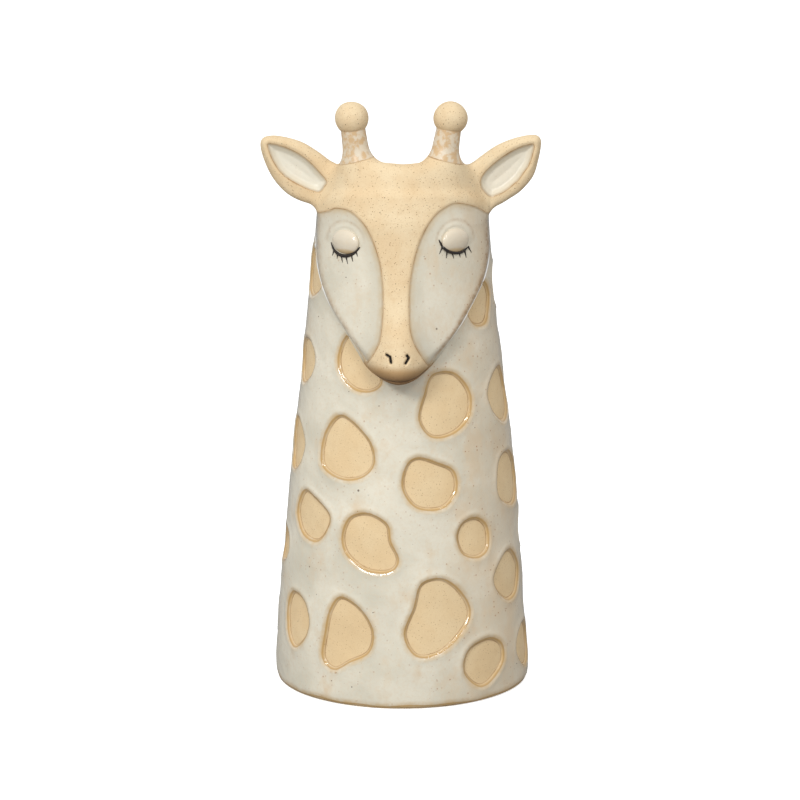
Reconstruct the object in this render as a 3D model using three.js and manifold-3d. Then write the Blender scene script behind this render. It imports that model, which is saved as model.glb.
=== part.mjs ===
// Hand-built stoneware giraffe: a tapered hollow neck with an open crown, carrying a luted face,
// ears, horns and closed eyelids. Millimetres, +Z up, the face looks along -Y.
import * as THREE from 'three';
import { mergeVertices } from 'three/addons/utils/BufferGeometryUtils.js';
import Module from 'manifold-3d';

const wasm = await Module();
wasm.setup();

// ---- driving dimensions -------------------------------------------------------------------
const NECK_HEIGHT = 272;       // foot to the crown, on the neck's own axis
const FOOT_RADIUS = 67.6;      // outside, where the wall meets the table
const FOOT_ROUND = 2.5;        // rounded corner at the foot
const LOWER_RADIUS = 60.9;     // outside, at LOWER_SHARE of the height
const UPPER_RADIUS = 49.8;     // outside, at UPPER_SHARE of the height
const TOP_RADIUS = 44;         // outside, just under the crown
const WALL = 6.5;              // clay wall of the neck
const CROWN_LEAN = 0.2;        // how far the crown slopes down towards the back, per mm
const MOUTH_RADIUS = 25;       // opening behind the horns
const LIP_ROUND = 2;           // rounding of the mouth's lip
const BASE_THICKNESS = 8;      // slab that closes the foot
const SPOT_DEPTH = 1.4;        // how far the bare spots lie below the glazed wall
const LUTE_GAP = 0.3;          // clearance left at every joint between two pieces of clay

const FACE_HALF_WIDTH = 44;    // widest, at the eyes
const FACE_DROP = 102.5;       // from the crown down to the chin
const FACE_STAND = 6;          // how far the face stands off the neck
const FACE_WALL = 7;           // clay thickness of the face, which is hollow behind
const MUZZLE_REACH = 9;        // extra bulge of the muzzle
const MUZZLE_HALF_WIDTH = 13.5;
const MUZZLE_RISE = 10;        // chin up to the fullest part of the muzzle
const MUZZLE_X = -2;           // the muzzle sits a little off the middle
const BRIDGE_RISE = 5;         // ridge of the nose
const EYE_DROP = 30.5;         // from the crown down to the eyelids
const EYE_LEFT_X = -29;
const EYE_RIGHT_X = 26.8;
const EYELID_SIZE = [8.2, 4.6, 6.6];

const EAR_SPAN = 72.5;         // from the middle to the tip of an ear
const EAR_THICKNESS = 9;
const EAR_CUP_DEPTH = 5;
const EAR_Y = -9;              // back face of the ear

const HORN_FOOT_X = 22.3;
const HORN_TIP_X = 25.7;
const HORN_RISE = 30;          // crown to the middle of the knob
const HORN_SEAT = 4;           // how far the crown is drawn up round the foot of a horn
const STEM_RADIUS = 7.2;
const KNOB_RADIUS = 8.8;
const HORN_OUT = MOUTH_RADIUS + LIP_ROUND + STEM_RADIUS;   // a horn's foot clears the mouth's lip
const HORN_Y = -Math.sqrt(HORN_OUT ** 2 - HORN_FOOT_X ** 2);

// ---- fineness -----------------------------------------------------------------------------
const AROUND_NECK = 48;
const AROUND_FACE = 44;
const SPOT_SIDES = 13;
const LOWER_SHARE = 0.36;
const UPPER_SHARE = 0.73;
const TOP_SHARE = 0.94;

// ---- solids -------------------------------------------------------------------------------
function weld(geometry) {
  geometry.deleteAttribute('normal');
  geometry.deleteAttribute('uv');
  const merged = mergeVertices(geometry, 1e-4);
  const index = merged.index.array;
  const kept = [];
  for (let i = 0; i < index.length; i += 3) {
    const [a, b, c] = [index[i], index[i + 1], index[i + 2]];
    if (a !== b && b !== c && c !== a) kept.push(a, b, c);
  }
  merged.setIndex(kept);
  return merged;
}

function toSolid(geometry) {
  const merged = weld(geometry);
  const vertProperties = new Float32Array(merged.attributes.position.array);
  const triVerts = new Uint32Array(merged.index.array);
  return new wasm.Manifold(new wasm.Mesh({ numProp: 3, vertProperties, triVerts }));
}

function toGeometry(solid) {
  const mesh = solid.getMesh();
  const geometry = new THREE.BufferGeometry();
  geometry.setAttribute('position', new THREE.BufferAttribute(mesh.vertProperties, 3));
  geometry.setIndex(new THREE.BufferAttribute(mesh.triVerts, 1));
  geometry.computeVertexNormals();
  return geometry;
}

function moveVertices(geometry, move) {
  const position = geometry.attributes.position;
  const point = new THREE.Vector3();
  for (let i = 0; i < position.count; i += 1) {
    point.fromBufferAttribute(position, i);
    move(point);
    position.setXYZ(i, point.x, point.y, point.z);
  }
  return geometry;
}

// A profile of [radius, height] turned about the Z axis.
function turned(profile, around) {
  const points = profile.map(([r, z]) => new THREE.Vector2(r, z));
  return new THREE.LatheGeometry(points, around).rotateX(Math.PI / 2);
}

function smooth(from, to, value) {
  return THREE.MathUtils.smoothstep(value, from, to);
}

// ---- neck ---------------------------------------------------------------------------------
const neckCurve = new THREE.CubicInterpolant(
  [0, LOWER_SHARE * NECK_HEIGHT, UPPER_SHARE * NECK_HEIGHT, TOP_SHARE * NECK_HEIGHT],
  [FOOT_RADIUS, LOWER_RADIUS, UPPER_RADIUS, TOP_RADIUS],
  1,
);

function neckRadius(z) {
  return neckCurve.evaluate(THREE.MathUtils.clamp(z, 0, TOP_SHARE * NECK_HEIGHT))[0];
}

// The outside of the neck from the foot up to the top of the crown, grown by a margin.
function neckOutside(grow) {
  const rings = 7;
  const profile = [[neckRadius(0) - FOOT_ROUND + grow, -grow]];
  for (let i = 0; i <= rings; i += 1) {
    const z = THREE.MathUtils.lerp(FOOT_ROUND, TOP_SHARE * NECK_HEIGHT, i / rings);
    profile.push([neckRadius(z) + grow, z]);
  }
  const shoulder = NECK_HEIGHT - TOP_SHARE * NECK_HEIGHT;
  profile.push([TOP_RADIUS - 0.8 + grow, NECK_HEIGHT - 0.55 * shoulder]);
  profile.push([TOP_RADIUS - 3.2 + 0.8 * grow, NECK_HEIGHT - 0.22 * shoulder + 0.6 * grow]);
  profile.push([TOP_RADIUS - 7.5 + 0.3 * grow, NECK_HEIGHT + grow]);
  return profile;
}

// The crown leans back, higher over the brow and lower behind, and rises to the foot of each horn.
function leanCrown(point) {
  const crown = smooth(0.86 * NECK_HEIGHT, NECK_HEIGHT, point.z);
  const offset = Math.hypot(Math.abs(point.x) - HORN_FOOT_X, point.y - HORN_Y) / (2 * STEM_RADIUS);
  point.z += crown * (HORN_SEAT * Math.exp(-(offset ** 2)) - CROWN_LEAN * point.y);
}

function neckCore(grow) {
  const top = NECK_HEIGHT + grow;
  const profile = [[0, -grow], ...neckOutside(grow), [MOUTH_RADIUS + LIP_ROUND, top], [0, top]];
  return toSolid(moveVertices(turned(profile, AROUND_NECK), leanCrown));
}

function neckWallSolid() {
  const outside = neckOutside(0);
  const lip = [
    [MOUTH_RADIUS + LIP_ROUND, NECK_HEIGHT],
    [MOUTH_RADIUS, NECK_HEIGHT - LIP_ROUND],
    [MOUTH_RADIUS, NECK_HEIGHT - WALL + 1],
    [MOUTH_RADIUS + LIP_ROUND, NECK_HEIGHT - WALL - 0.5],
  ];
  const inside = [[TOP_RADIUS - WALL - 4, NECK_HEIGHT - WALL - 3]];
  const rings = 4;
  for (let i = 0; i <= rings; i += 1) {
    const z = THREE.MathUtils.lerp(TOP_SHARE * NECK_HEIGHT - WALL, BASE_THICKNESS, i / rings);
    inside.push([neckRadius(z) - WALL, z]);
  }
  inside.push([neckRadius(0) - WALL, 0]);
  const profile = [...outside, ...lip, ...inside, outside[0]];
  return toSolid(moveVertices(turned(profile, AROUND_NECK), leanCrown));
}

// ---- spots --------------------------------------------------------------------------------
// Each: degrees round from the front, percent of the neck height, outline [round, up] in mm.
const FRONT_SPOTS = [
  [-30, 49.6, [[-5, 16], [11, 6], [15, -6], [9, -14], [-3, -16], [-15, -10], [-15, 5]]],
  [-72, 47.8, [[-10, 12], [0, 12], [9, 2], [6, -9], [-3, -13], [-11, -5]]],
  [-52, 35.3, [[-7, 12], [3, 10], [14, 3], [13, -5], [6, -12], [-6, -10], [-13, 0]]],
  [-16, 32, [[-1, 15], [9, 10], [11, 1], [15, -8], [11, -14], [-1, -14], [-12, -7], [-15, 2], [-11, 12]]],
  [-78, 27.2, [[-8, 9], [3, 7], [7, 0], [2, -7], [-8, -8], [-13, 0]]],
  [-58, 14.3, [[-6, 14], [5, 12], [11, 3], [9, -7], [0, -14], [-8, -8], [-11, 4]]],
  [-26, 14, [[-4, 19], [7, 14], [14, 3], [12, -8], [2, -14], [-7, -19], [-14, -14], [-13, -1], [-10, 12]]],
  [17, 17.6, [[2, 20], [12, 13], [18, 2], [13, -8], [0, -18], [-12, -19], [-18, -8], [-13, 6], [-9, 18]]],
  [41, 7.7, [[2, 12], [12, 7], [13, -2], [5, -10], [-5, -12], [-14, -3], [-11, 8]]],
  [62, 22.8, [[4, 13], [-8, 10], [-15, 2], [-12, -6], [-3, -12], [8, -9], [14, 2]]],
  [76, 7.5, [[4, 12], [-9, 10], [-14, 3], [-10, -5], [0, -11], [10, -6], [13, 4]]],
  [37, 32, [[3, 10], [10, 4], [9, -6], [2, -10], [-7, -7], [-10, 2], [-6, 9]]],
  [14, 43.4, [[-6, 13], [4, 10], [13, 5], [14, -5], [6, -13], [-7, -12], [-14, -2], [-12, 9]]],
  [25, 58.1, [[-7, 15], [5, 15], [14, 5], [13, -7], [3, -15], [-9, -16], [-15, -7], [-12, 5]]],
  [70, 57.7, [[5, 14], [-8, 11], [-14, 2], [-10, -8], [0, -14], [10, -9], [14, 2]]],
  [72, 41.2, [[2, 14], [-10, 12], [-15, 2], [-13, -8], [0, -14], [11, -9], [14, 4]]],
  [56, 76.1, [[6, 10], [12, 3], [9, -5], [2, -11], [-7, -10], [-11, -2], [-6, 7]]],
  [-25, 65.8, [[-8, 13], [-13, 3], [-11, -6], [-3, -13], [6, -14], [12, -9], [9, 4], [1, 12]]],
  [-75, 64, [[-8, 10], [3, 11], [11, 4], [10, -5], [1, -11], [-8, -8], [-12, 1]]],
  [-72, 81.2, [[-8, 11], [4, 12], [11, 4], [8, -7], [-2, -12], [-11, -5]]],
];

// Round the back the same hand-cut outlines come again: [degrees, percent, which outline].
const BACK_SPOTS = [
  [112, 14, 0], [149, 9, 5], [-176, 16, 7], [-136, 10, 8], [-102, 13, 2],
  [96, 30, 4], [131, 26, 3], [167, 33, 9], [-156, 28, 1], [-120, 29, 6],
  [108, 46, 12], [143, 41, 11], [178, 49, 13], [-142, 44, 0], [-105, 45, 5],
  [104, 64, 8], [141, 58, 15], [-178, 66, 10], [-138, 61, 14], [-107, 63, 16],
  [92, 78, 11], [132, 75, 18], [168, 82, 5], [-148, 78, 12], [-110, 81, 17],
];

function spotCutter([degrees, percent, outline]) {
  const height = (percent / 100) * NECK_HEIGHT;
  const radius = neckRadius(height);
  const nodes = outline.map(([s, up]) => new THREE.Vector3(radius * Math.sin(s / radius), up, 0));
  const edge = new THREE.CatmullRomCurve3(nodes, true).getPoints(SPOT_SIDES);
  edge.pop();
  const inward = 8;
  const outward = 6;
  const geometry = new THREE.ExtrudeGeometry(new THREE.Shape(edge), {
    depth: inward + outward,
    bevelEnabled: false,
  });
  const turn = THREE.MathUtils.degToRad(degrees);
  const outwards = new THREE.Vector3(Math.sin(turn), -Math.cos(turn), 0);
  const sideways = new THREE.Vector3(Math.cos(turn), Math.sin(turn), 0);
  const up = new THREE.Vector3(0, 0, 1);
  const place = new THREE.Matrix4().makeBasis(sideways, up, outwards);
  place.setPosition(outwards.clone().multiplyScalar(radius - inward).setZ(height));
  return toSolid(geometry.applyMatrix4(place));
}

function allSpots() {
  const back = BACK_SPOTS.map(([degrees, percent, which]) => [degrees, percent, FRONT_SPOTS[which][2]]);
  const cutters = [...FRONT_SPOTS, ...back].map(spotCutter);
  const skin = neckCore(2 * SPOT_DEPTH).subtract(neckCore(-SPOT_DEPTH));
  return wasm.Manifold.union(cutters).intersect(skin);
}

function neckWall() {
  return neckWallSolid().subtract(allSpots());
}

function baseDisc() {
  const radius = Math.min(neckRadius(0), neckRadius(BASE_THICKNESS)) - WALL - LUTE_GAP;
  const geometry = new THREE.CylinderGeometry(radius, radius, BASE_THICKNESS, AROUND_NECK);
  return toSolid(geometry.rotateX(Math.PI / 2).translate(0, 0, BASE_THICKNESS / 2));
}

// ---- face ---------------------------------------------------------------------------------
// Right half of the outline from the chin up to the brow: [share of half width, drop].
const FACE_OUTLINE = [
  [0, FACE_DROP], [0.19, FACE_DROP - 2.5], [0.34, 95.5], [0.42, 90.5], [0.54, 82.5], [0.69, 72.5],
  [0.85, 60], [0.95, 51], [0.99, 42], [1, 31], [0.98, 20], [0.9, 10], [0.72, 4], [0.4, 1.5], [0, 1],
];
const FACE_MIDDLE_DROP = 44;

function faceEdge() {
  const half = FACE_OUTLINE.map(([share, drop]) => [share * FACE_HALF_WIDTH, NECK_HEIGHT - drop]);
  const mirrored = half.slice(1, -1).reverse().map(([x, z]) => [-x, z]);
  const nodes = [...half, ...mirrored].map(([x, z]) => new THREE.Vector3(x, 0, z));
  return new THREE.CatmullRomCurve3(nodes, true).getSpacedPoints(AROUND_FACE);
}

// How far in front of the axis the face stands at (x, z).
function faceReach(x, z) {
  const drop = NECK_HEIGHT - z;
  const stand = FACE_STAND * smooth(-2, 24, drop);
  const roundness = neckRadius(z) + 2;
  const side = Math.sqrt(Math.max(roundness ** 2 - x ** 2, 100));
  const across = (x - MUZZLE_X * smooth(20, FACE_DROP, drop)) / MUZZLE_HALF_WIDTH;
  const bridge = BRIDGE_RISE * Math.exp(-(across ** 2)) * smooth(20, 80, drop);
  const above = (FACE_DROP - MUZZLE_RISE - drop) / (drop < FACE_DROP - MUZZLE_RISE ? 24 : 14);
  const muzzle = MUZZLE_REACH * Math.exp(-(above ** 2) - (across / 1.15) ** 2);
  return stand + side + bridge + muzzle;
}

// The face as a solid block: a domed front, straight sides, and a flat back inside the neck.
function faceBlock(grow, inset) {
  const edge = faceEdge();
  const shares = [0, 0.2, 0.36, 0.5, 0.62, 0.73, 0.82, 0.9, 0.96, 1];
  const profile = [[0, -1], [1, -1], ...shares.reverse().map((share) => [share, share === 1 ? 1 : 2])];
  const points = profile.map(([share, layer]) => new THREE.Vector2(share, layer));
  const geometry = new THREE.LatheGeometry(points, AROUND_FACE);
  const middle = new THREE.Vector3(0, 0, NECK_HEIGHT - FACE_MIDDLE_DROP);
  moveVertices(geometry, (point) => {
    const share = Math.hypot(point.x, point.z);
    const turn = Math.atan2(point.x, point.z) / (2 * Math.PI);
    const rim = edge[Math.round((turn + 1) * AROUND_FACE) % AROUND_FACE];
    const spot = middle.clone().lerp(rim, share);
    const shrink = inset / Math.max(rim.distanceTo(middle), 1);
    spot.lerp(middle, share * shrink);
    const eased = point.y > 1.5 ? 0.7 * smooth(0.9, 1, share) : 2.2;
    const reach = point.y < 0 ? 2 : faceReach(spot.x, spot.z) - eased + grow;
    point.set(spot.x, -reach, spot.z);
  });
  return toSolid(geometry);
}

function nostril(x, tilt) {
  const slit = new THREE.BoxGeometry(1.3, 40, 4);
  slit.rotateY(tilt).translate(MUZZLE_X + x, -(TOP_RADIUS + 30), NECK_HEIGHT - FACE_DROP + 15);
  return toSolid(slit);
}

function faceMask() {
  const hollow = faceBlock(-FACE_WALL, FACE_WALL);
  return faceBlock(0, 0)
    .subtract(neckCore(LUTE_GAP))
    .subtract(hollow)
    .subtract(nostril(-4.6, -0.5))
    .subtract(nostril(4, 0.4));
}

function eyelid(x) {
  const z = NECK_HEIGHT - EYE_DROP;
  const dome = new THREE.SphereGeometry(1, 20, 12).scale(...EYELID_SIZE);
  dome.translate(x, -faceReach(x, z) + 0.8, z);
  return toSolid(dome).subtract(faceBlock(LUTE_GAP, -LUTE_GAP));
}

// ---- ears ---------------------------------------------------------------------------------
// Outlines of the left ear seen from the front: [share of span out, height over the crown].
const EAR_OUTLINE = [
  [0.46, 4], [0.61, 9.6], [0.79, 17], [0.91, 18.6], [0.99, 17.6], [1, 12], [0.94, -1.5],
  [0.85, -8.5], [0.75, -12.5], [0.62, -15], [0.46, -15],
];
const EAR_CUP = [
  [0.54, -3.5], [0.7, 8.2], [0.83, 13.6], [0.965, 15], [0.93, 7], [0.88, 1.5], [0.77, -4.8], [0.6, -10.3],
];

function earShape(outline) {
  const nodes = outline.map(([out, up]) => new THREE.Vector3(out * EAR_SPAN, up, 0));
  const edge = new THREE.CatmullRomCurve3(nodes, true).getPoints(2 * outline.length);
  edge.pop();
  return new THREE.Shape(edge);
}

function ear(side) {
  const slab = new THREE.ExtrudeGeometry(earShape(EAR_OUTLINE), {
    depth: EAR_THICKNESS - 3,
    bevelThickness: 1.5,
    bevelSize: 1.5,
    bevelOffset: -1.5,
    bevelSegments: 2,
  });
  slab.translate(0, 0, 1.5);
  const cup = new THREE.ExtrudeGeometry(earShape(EAR_CUP), { depth: EAR_THICKNESS, bevelEnabled: false });
  cup.translate(0, 0, EAR_THICKNESS - EAR_CUP_DEPTH);
  const place = new THREE.Matrix4().makeBasis(
    new THREE.Vector3(1, 0, 0),
    new THREE.Vector3(0, 0, 1),
    new THREE.Vector3(0, -1, 0),
  );
  place.setPosition(0, EAR_Y, NECK_HEIGHT);
  const right = toSolid(slab.applyMatrix4(place)).subtract(toSolid(cup.applyMatrix4(place)));
  const placed = side > 0 ? right : right.mirror([1, 0, 0]);
  return placed.subtract(neckCore(LUTE_GAP)).subtract(faceBlock(LUTE_GAP, -LUTE_GAP));
}

// ---- horns --------------------------------------------------------------------------------
function knobSolid(side, grow) {
  const ball = new THREE.SphereGeometry(KNOB_RADIUS + grow, 24, 16);
  ball.rotateX(Math.PI / 2).translate(side * HORN_TIP_X, HORN_Y, NECK_HEIGHT + HORN_RISE);
  return toSolid(ball);
}

function hornStem(side) {
  const foot = new THREE.Vector3(side * HORN_FOOT_X, HORN_Y, NECK_HEIGHT - 2);
  const tip = new THREE.Vector3(side * HORN_TIP_X, HORN_Y, NECK_HEIGHT + HORN_RISE);
  const along = tip.clone().sub(foot);
  const stem = new THREE.CylinderGeometry(0.96 * STEM_RADIUS, 1.06 * STEM_RADIUS, along.length(), 24);
  stem.rotateX(Math.PI / 2);
  const turn = new THREE.Quaternion().setFromUnitVectors(new THREE.Vector3(0, 0, 1), along.normalize());
  stem.applyQuaternion(turn).translate((foot.x + tip.x) / 2, HORN_Y, (foot.z + tip.z) / 2);
  return toSolid(stem)
    .subtract(knobSolid(side, LUTE_GAP))
    .subtract(neckCore(LUTE_GAP))
    .subtract(faceBlock(LUTE_GAP, -LUTE_GAP));
}

// ---- finishes and assembly ----------------------------------------------------------------
const glaze = { color: '#ded8ca', roughness: 0.18, metalness: 0 };
const bareClay = { color: '#eed6b0', roughness: 0.85, metalness: 0 };

const giraffe = new THREE.Group();
giraffe.name = 'stoneware_giraffe';

function addPiece(name, solid, finish) {
  const mesh = new THREE.Mesh(toGeometry(solid), new THREE.MeshStandardMaterial(finish));
  mesh.name = name;
  giraffe.add(mesh);
}

addPiece('neck_wall', neckWall(), glaze);
addPiece('base_disc', baseDisc(), bareClay);
addPiece('face_mask', faceMask(), bareClay);
addPiece('eyelid_left', eyelid(EYE_LEFT_X), glaze);
addPiece('eyelid_right', eyelid(EYE_RIGHT_X), glaze);
for (const [word, side] of [['left', -1], ['right', 1]]) {
  addPiece(`ear_${word}`, ear(side), bareClay);
  addPiece(`horn_stem_${word}`, hornStem(side), glaze);
  addPiece(`horn_knob_${word}`, knobSolid(side, 0), bareClay);
}

export default giraffe;
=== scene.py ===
"""Glazed stoneware giraffe vase: the finished clay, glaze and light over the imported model.

Shapes are worked out in millimetres, +Z up and the face towards -Y, and become metres when a mesh is made.
"""
import math
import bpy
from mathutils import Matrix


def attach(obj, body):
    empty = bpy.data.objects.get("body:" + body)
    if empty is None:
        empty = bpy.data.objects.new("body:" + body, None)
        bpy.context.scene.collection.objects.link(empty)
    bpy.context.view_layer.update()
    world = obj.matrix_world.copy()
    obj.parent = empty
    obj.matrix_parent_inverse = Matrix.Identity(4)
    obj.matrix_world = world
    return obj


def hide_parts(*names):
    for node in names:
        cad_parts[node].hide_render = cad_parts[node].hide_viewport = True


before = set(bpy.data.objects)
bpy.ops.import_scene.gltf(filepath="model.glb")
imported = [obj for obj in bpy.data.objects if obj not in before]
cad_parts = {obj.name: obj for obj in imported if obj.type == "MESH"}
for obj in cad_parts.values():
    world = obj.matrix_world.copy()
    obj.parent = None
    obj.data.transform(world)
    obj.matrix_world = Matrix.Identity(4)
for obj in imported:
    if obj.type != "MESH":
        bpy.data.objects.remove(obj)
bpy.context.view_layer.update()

from types import SimpleNamespace

import bpy
import numpy as np
from mathutils import Vector
from mathutils.geometry import delaunay_2d_cdt

MM = 0.001

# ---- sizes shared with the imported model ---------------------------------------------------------
NECK_HEIGHT = 272.0
WALL = 6.5
TOP_Z = 0.94 * NECK_HEIGHT
CROWN_FROM = 0.86 * NECK_HEIGHT
CROWN_LEAN = 0.2
MOUTH_RADIUS = 25.0
RADIUS_AT = ([0.0, 0.36 * NECK_HEIGHT, 0.73 * NECK_HEIGHT, TOP_Z], [67.6, 60.9, 49.8, 44.0])
RADIUS_CURVE = np.polyfit(*RADIUS_AT, 3)
SPOT_DEPTH = 1.4

FACE_DROP = 102.5
MUZZLE_X = -2.0
MUZZLE_HALF_WIDTH = 13.5
MUZZLE_RISE = 10.0

HORN_OUT = MOUTH_RADIUS + 9.2       # how far from the axis a horn stands, clear of the mouth's lip
HORN_FOOT_X = 22.3
HORN_SPOTS = {"left": (-22.4, -25.9), "right": (20.2, 24.6)}   # x at the foot and at the knob
HORN_RISE = 30.0
HORN_SEAT = 4.0
STEM_RADIUS = 7.0
KNOB_RADIUS = 8.7
HORN_Y = -math.sqrt(HORN_OUT ** 2 - HORN_FOOT_X ** 2)
KNOB_Z = NECK_HEIGHT + HORN_RISE

# ---- small tools --------------------------------------------------------------------------------


def ease(low, high, value):
    """0 before low, 1 after high and smooth in between; low may be the larger."""
    share = np.clip((value - low) / (high - low), 0.0, 1.0)
    return share * share * (3.0 - 2.0 * share)


def hump(value, width):
    return np.exp(-(value / width) ** 2)


def meld(a, b, blend):
    """Two solids run together, with a fillet where they meet."""
    near = np.maximum(blend - np.abs(a - b), 0.0) / blend
    return np.minimum(a, b) - near * near * blend / 4.0


def trim(a, b, blend):
    """What two solids share, with a rounded edge."""
    return -meld(-a, -b, blend)


def flow(points, per_span, closed=True):
    """A smooth curve through the points."""
    points = np.asarray(points, float)
    count = len(points)
    span = np.arange(count if closed else count - 1)

    def shifted(by):
        return points[(span + by) % count] if closed else points[np.clip(span + by, 0, count - 1)]

    a, b, c, d = shifted(-1), shifted(0), shifted(1), shifted(2)
    t = np.linspace(0.0, 1.0, per_span, endpoint=False)[:, None, None]
    cubic = 3.0 * (b - c) + d - a
    curve = 0.5 * (2.0 * b + (c - a) * t + (2.0 * a - 5.0 * b + 4.0 * c - d) * t ** 2 + cubic * t ** 3)
    curve = curve.transpose(1, 0, 2).reshape(-1, points.shape[1])
    return curve if closed else np.vstack([curve, points[-1:]])


def stretch_of(points, step):
    """The same line with points at an even step."""
    lengths = np.hypot(*np.diff(points, axis=0).T)
    along = np.concatenate([[0.0], np.cumsum(lengths)])
    at = np.linspace(0.0, along[-1], max(int(round(along[-1] / step)), 3) + 1)
    return np.column_stack([np.interp(at, along, column) for column in points.T])


def line_distance(line, u, v):
    best = np.full(np.shape(u), 1e9)
    for (u0, v0), (u1, v1) in zip(line[:-1], line[1:]):
        du, dv = u1 - u0, v1 - v0
        along = np.clip(((u - u0) * du + (v - v0) * dv) / (du * du + dv * dv + 1e-12), 0.0, 1.0)
        best = np.minimum(best, np.hypot(u - u0 - along * du, v - v0 - along * dv))
    return best


def outline_distance(outline, u, v):
    """Distance to a closed outline, negative inside."""
    inside = np.zeros(np.shape(u), bool)
    for (u0, v0), (u1, v1) in zip(outline, np.roll(outline, -1, axis=0)):
        if v0 != v1:
            inside ^= ((v0 > v) != (v1 > v)) & (u < u0 + (v - v0) * (u1 - u0) / (v1 - v0))
    best = line_distance(np.vstack([outline, outline[:1]]), u, v)
    return np.where(inside, -best, best)


def ring_quads(grid):
    """Four-sided faces between the rows of a grid of point numbers whose rows close on themselves."""
    a, b = grid[:-1], grid[1:]
    return np.stack([a, np.roll(a, -1, axis=1), np.roll(b, -1, axis=1), b], axis=-1).reshape(-1, 4)


class Sheet:
    """A value worked out once on a fine grid, then read back anywhere in between."""

    def __init__(self, low, high, step, value):
        self.low = low
        self.step = step
        axes = [np.arange(a, b + step, step) for a, b in zip(low, high)]
        self.values = value(*np.meshgrid(*axes, indexing="ij"))

    def __call__(self, u, v):
        rows, columns = self.values.shape
        at_u = np.clip((u - self.low[0]) / self.step, 0.0, rows - 1.001)
        at_v = np.clip((v - self.low[1]) / self.step, 0.0, columns - 1.001)
        i, j = at_u.astype(int), at_v.astype(int)
        s, t = at_u - i, at_v - j
        near = self.values[i, j] * (1.0 - t) + self.values[i, j + 1] * t
        far = self.values[i + 1, j] * (1.0 - t) + self.values[i + 1, j + 1] * t
        return near * (1.0 - s) + far * s


# ---- the neck's form ----------------------------------------------------------------------------


def neck_radius(z):
    return np.polyval(RADIUS_CURVE, np.clip(z, 0.0, TOP_Z))


def outer_profile():
    """Radius and height up the outside, from the foot ring over the shoulder into the mouth."""
    foot = [[64.9, 0.0], [66.5, 0.5], [67.3, 2.2]]
    side = [[neck_radius(z), z] for z in np.linspace(6.0, TOP_Z - 3.0, 26)]
    top = NECK_HEIGHT
    shoulder = [[43.7, top - 12.5], [42.8, top - 8.0], [40.4, top - 3.2], [36.0, top - 0.2], [31.0, top]]
    lip = [[27.4, top - 0.3], [25.2, top - 2.0], [25.0, top - 4.6], [26.6, top - 7.0]]
    return stretch_of(flow(foot + side + shoulder + lip, 8, closed=False), 0.5)


PROFILE = outer_profile()
PROFILE_AT = np.concatenate([[0.0], np.cumsum(np.hypot(*np.diff(PROFILE, axis=0).T))])
PROFILE_TOP = int(np.argmax(PROFILE[:, 1]))


def seat_and_lean(x, y, z):
    """How far the crown is lifted at a point: it slopes down to the back and swells at each horn."""
    crown = ease(CROWN_FROM, NECK_HEIGHT, z)
    offset = np.hypot(np.abs(x) - HORN_FOOT_X, y - HORN_Y) / (2.0 * STEM_RADIUS)
    return crown * (HORN_SEAT * np.exp(-offset ** 2) - CROWN_LEAN * y)


def lumps(x, y, z):
    """The hand-pressed unevenness of the wall."""
    wide = 0.2 * np.sin(0.105 * x + 0.04 * y + 0.055 * z + 1.0)
    wide = wide + 0.17 * np.sin(0.09 * y - 0.075 * x + 0.04 * z + 2.0)
    middle = 0.13 * np.sin(0.05 * x - 0.07 * y - 0.15 * z + 0.5)
    middle = middle + 0.07 * np.sin(0.2 * x + 0.17 * y + 0.24 * z)
    close = 0.035 * np.sin(0.62 * x + 0.1 * z + 2.2 * np.sin(0.31 * y))
    close = close + 0.035 * np.sin(0.7 * z - 0.4 * y + 0.3 * x)
    return 1.5 * wide + 1.6 * middle + close


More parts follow.
